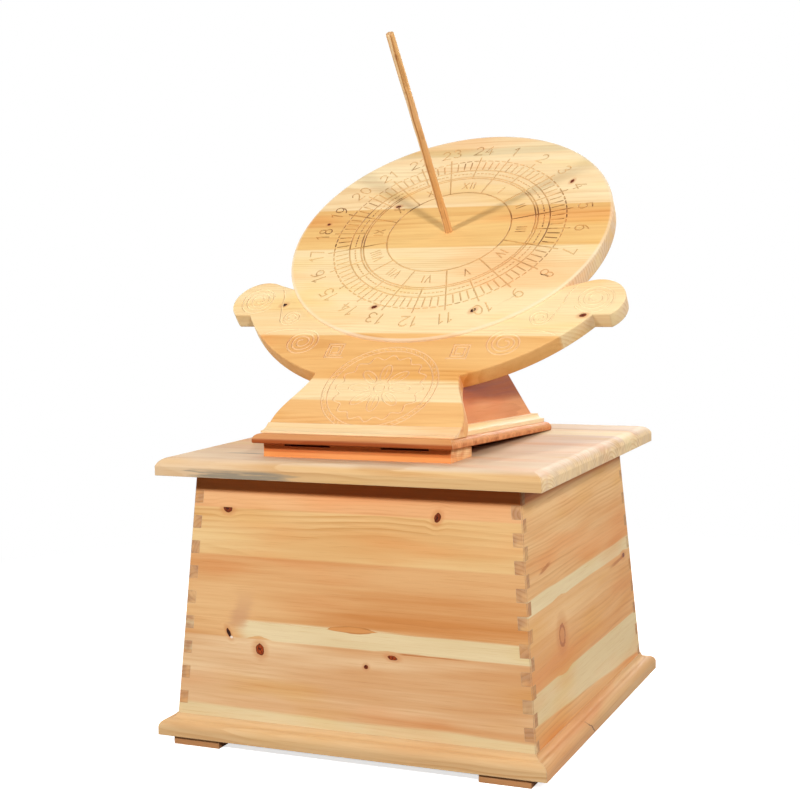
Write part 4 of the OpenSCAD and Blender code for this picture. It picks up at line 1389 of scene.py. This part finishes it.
# %% The whittled rod
ROD_R = 5.97
ROD_SIDES = 32
ROD_END_R = 2
ROD_STEP = 3.0
Nick = namedtuple("Nick", "height angle depth long")
FLAT_LONG, FLAT_DEEP = 42, 0.5
CHATTER_LONG, CHATTER_DEEP = 9, 0.14
SHAVED = 0.22
NICK_WIDE = 0.5
WHITTLED_FROM, WHITTLED_OVER = 2, 10
NICKS = (Nick(34, 250, 0.9, 5), Nick(52, 300, 0.8, 4), Nick(60, 235, 0.7, 7), Nick(118, 270, 0.6, 5),
         Nick(176, 320, 0.6, 6), Nick(243, 255, 0.7, 5), Nick(304, 290, 0.5, 4), Nick(150, 90, 0.8, 6))


def rod_radius(height, angle):
    """The rod is round in its bore; above the dial a knife has left flats, and nicks where twigs were."""
    spot = Vector((math.cos(angle) * 0.9, math.sin(angle) * 0.9, height / FLAT_LONG))
    chatter_spot = Vector((spot.x * 3, spot.y * 3, height / CHATTER_LONG))
    cut = max(0, SHAVED + (noise.noise(spot) * FLAT_DEEP + noise.noise(chatter_spot) * CHATTER_DEEP))
    for nick in NICKS:
        turned = math.remainder(angle - math.radians(nick.angle), 2 * math.pi)
        cut += nick.depth * math.exp(-((height - nick.height) / nick.long) ** 2 - (turned / NICK_WIDE) ** 2)
    return ROD_R - cut * min(1, max(0, (height - WHITTLED_FROM) / WHITTLED_OVER))


rod_bottom, rod_top = ((place - dial_centre.dot(DIAL_OUT)) / MM for place in extent("gnomon", DIAL_OUT))
turns = [math.pi / 2 * step / 5 for step in range(6)]
levels = [(rod_bottom + ROD_END_R * (1 - math.cos(a)), ROD_END_R * (1 - math.sin(a))) for a in turns]
count = int((rod_top - rod_bottom - 2 * ROD_END_R) / ROD_STEP)
levels += [(rod_bottom + ROD_END_R + ROD_STEP * step, 0) for step in range(1, count)]
levels += [(rod_top - ROD_END_R * (1 - math.cos(a)), ROD_END_R * (1 - math.sin(a))) for a in reversed(turns)]
round_rod = []
for height, rounding in levels:
    angles = [2 * math.pi * step / ROD_SIDES for step in range(ROD_SIDES)]
    round_rod.append([(math.cos(a) * (rod_radius(height, a) - rounding),
                       math.sin(a) * (rod_radius(height, a) - rounding), height) for a in angles])
rod = skin(round_rod, "gnomon_whittled")
rod.data.transform(laid)
for polygon in rod.data.polygons:
    polygon.use_smooth = True
rod.data.set_sharp_from_angle(angle=math.radians(50))
print("the rod has", len(rod.data.polygons), "faces")

# %% The rod's finish
ROD_TONE = Tone(paint(246, 206, 154), paint(226, 172, 112), paint(206, 160, 112))
SCAR_AND_SHADE_BROWN = paint(150, 84, 36)
ROD_PAINTED_LIGHT = paint(252, 226, 182)


def twig_scars(plank, wood):
    """A strip painted light and a strip painted as shade that wind up one side of the rod, dark threads along
    it, and brown nicks.
    """
    slant = plank.w + plank.u * 0.02 - 4.6 + plank.cloud(110, 30, turn=24) * 7
    # painted light and painted shade: a lighter strip along one side of the rod, and a brown one beside it
    wood = plank.mix(wood, ROD_PAINTED_LIGHT, slant.rise(0.2, 1.4) * slant.rise(4.2, 3.0) * 0.7)
    wood = plank.mix(wood, SCAR_AND_SHADE_BROWN, slant.rise(-1.8, -1.0) * slant.rise(0.3, -0.4) * 0.6)
    thread = plank.cloud(90, 2.4, turn=20).rise(0.04, 0.22)
    wood = plank.mix(wood, SCAR_AND_SHADE_BROWN, thread * 0.5)
    for nick in NICKS:
        angle = math.radians(nick.angle)
        off = (plank.u - nick.height) / (nick.long * 1.7)
        facing = plank.v * math.sin(angle) - plank.w * math.cos(angle)
        scar = (off * off + plank.cloud(7, 3, turn=22) * 1.8).rise(1.0, 0.0) * facing.rise(4.6, 6.2)
        wood = plank.mix(wood, SCAR_AND_SHADE_BROWN, scar * 0.6)
    return wood


rod.data.materials.append(fir("fir_gnomon", dial_centre, DIAL_OUT, DIAL_UP, 111, (-20, 20), ROD_TONE,
                              strength=0.9, lean=0.004, edge_mm=0.5, gaps=(2.6, 3.6), marks=twig_scars,
                              relief=0.1))
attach(rod, "gnomon")
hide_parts("gnomon")
print("rod finish:", rod.data.materials[0].name)

# %% Hidden wood
OFFCUT_TONE = Tone(paint(232, 194, 144), paint(212, 166, 112), paint(190, 140, 92))
OFFCUTS = (
    ("floor_board", ACROSS, BACKWARD), ("corner_block_front_left", UP, ACROSS),
    ("corner_block_front_right", UP, ACROSS), ("corner_block_back_left", UP, ACROSS),
    ("corner_block_back_right", UP, ACROSS), ("top_cleat_left", BACKWARD, ACROSS),
    ("top_cleat_right", BACKWARD, ACROSS), ("toe_block", ACROSS, STAND_BACK),
    ("rear_block", ACROSS, STAND_BACK), ("side_block_left", STAND_BACK, ACROSS),
    ("side_block_right", STAND_BACK, ACROSS), ("dial_dowels", ACROSS, UP),
)
for place, (name, along, across) in enumerate(OFFCUTS):
    dress(fir("fir_" + name, Vector((0, 0, 0)), along, across, 121 + place, (-300, 300), OFFCUT_TONE), name)


# %% Screws
def zinc(name):
    """Zinc-plated steel: grey metal with fine turning marks and a dull bloom."""
    steel = Finish(name)
    place = steel.node("ShaderNodeTexCoord", out="Object")
    bloom = steel.node("ShaderNodeTexNoise", sockets={"Vector": place, "Scale": 900, "Detail": 3})
    grey = steel.mix(paint(176, 178, 180), paint(206, 204, 196), bloom)
    bump = steel.node("ShaderNodeBump", sockets={"Strength": 0.2, "Distance": 0.05 * MM, "Height": bloom})
    return steel.close(steel.node("ShaderNodeBsdfPrincipled",
                                  sockets={"Base Color": grey, "Metallic": 1.0,
                                           "Roughness": bloom * 0.3 + 0.22, "Normal": bump}))


dress(zinc("zinc_screws"), "foot_screws", "top_screws", "plate_screws", "riser_screws")
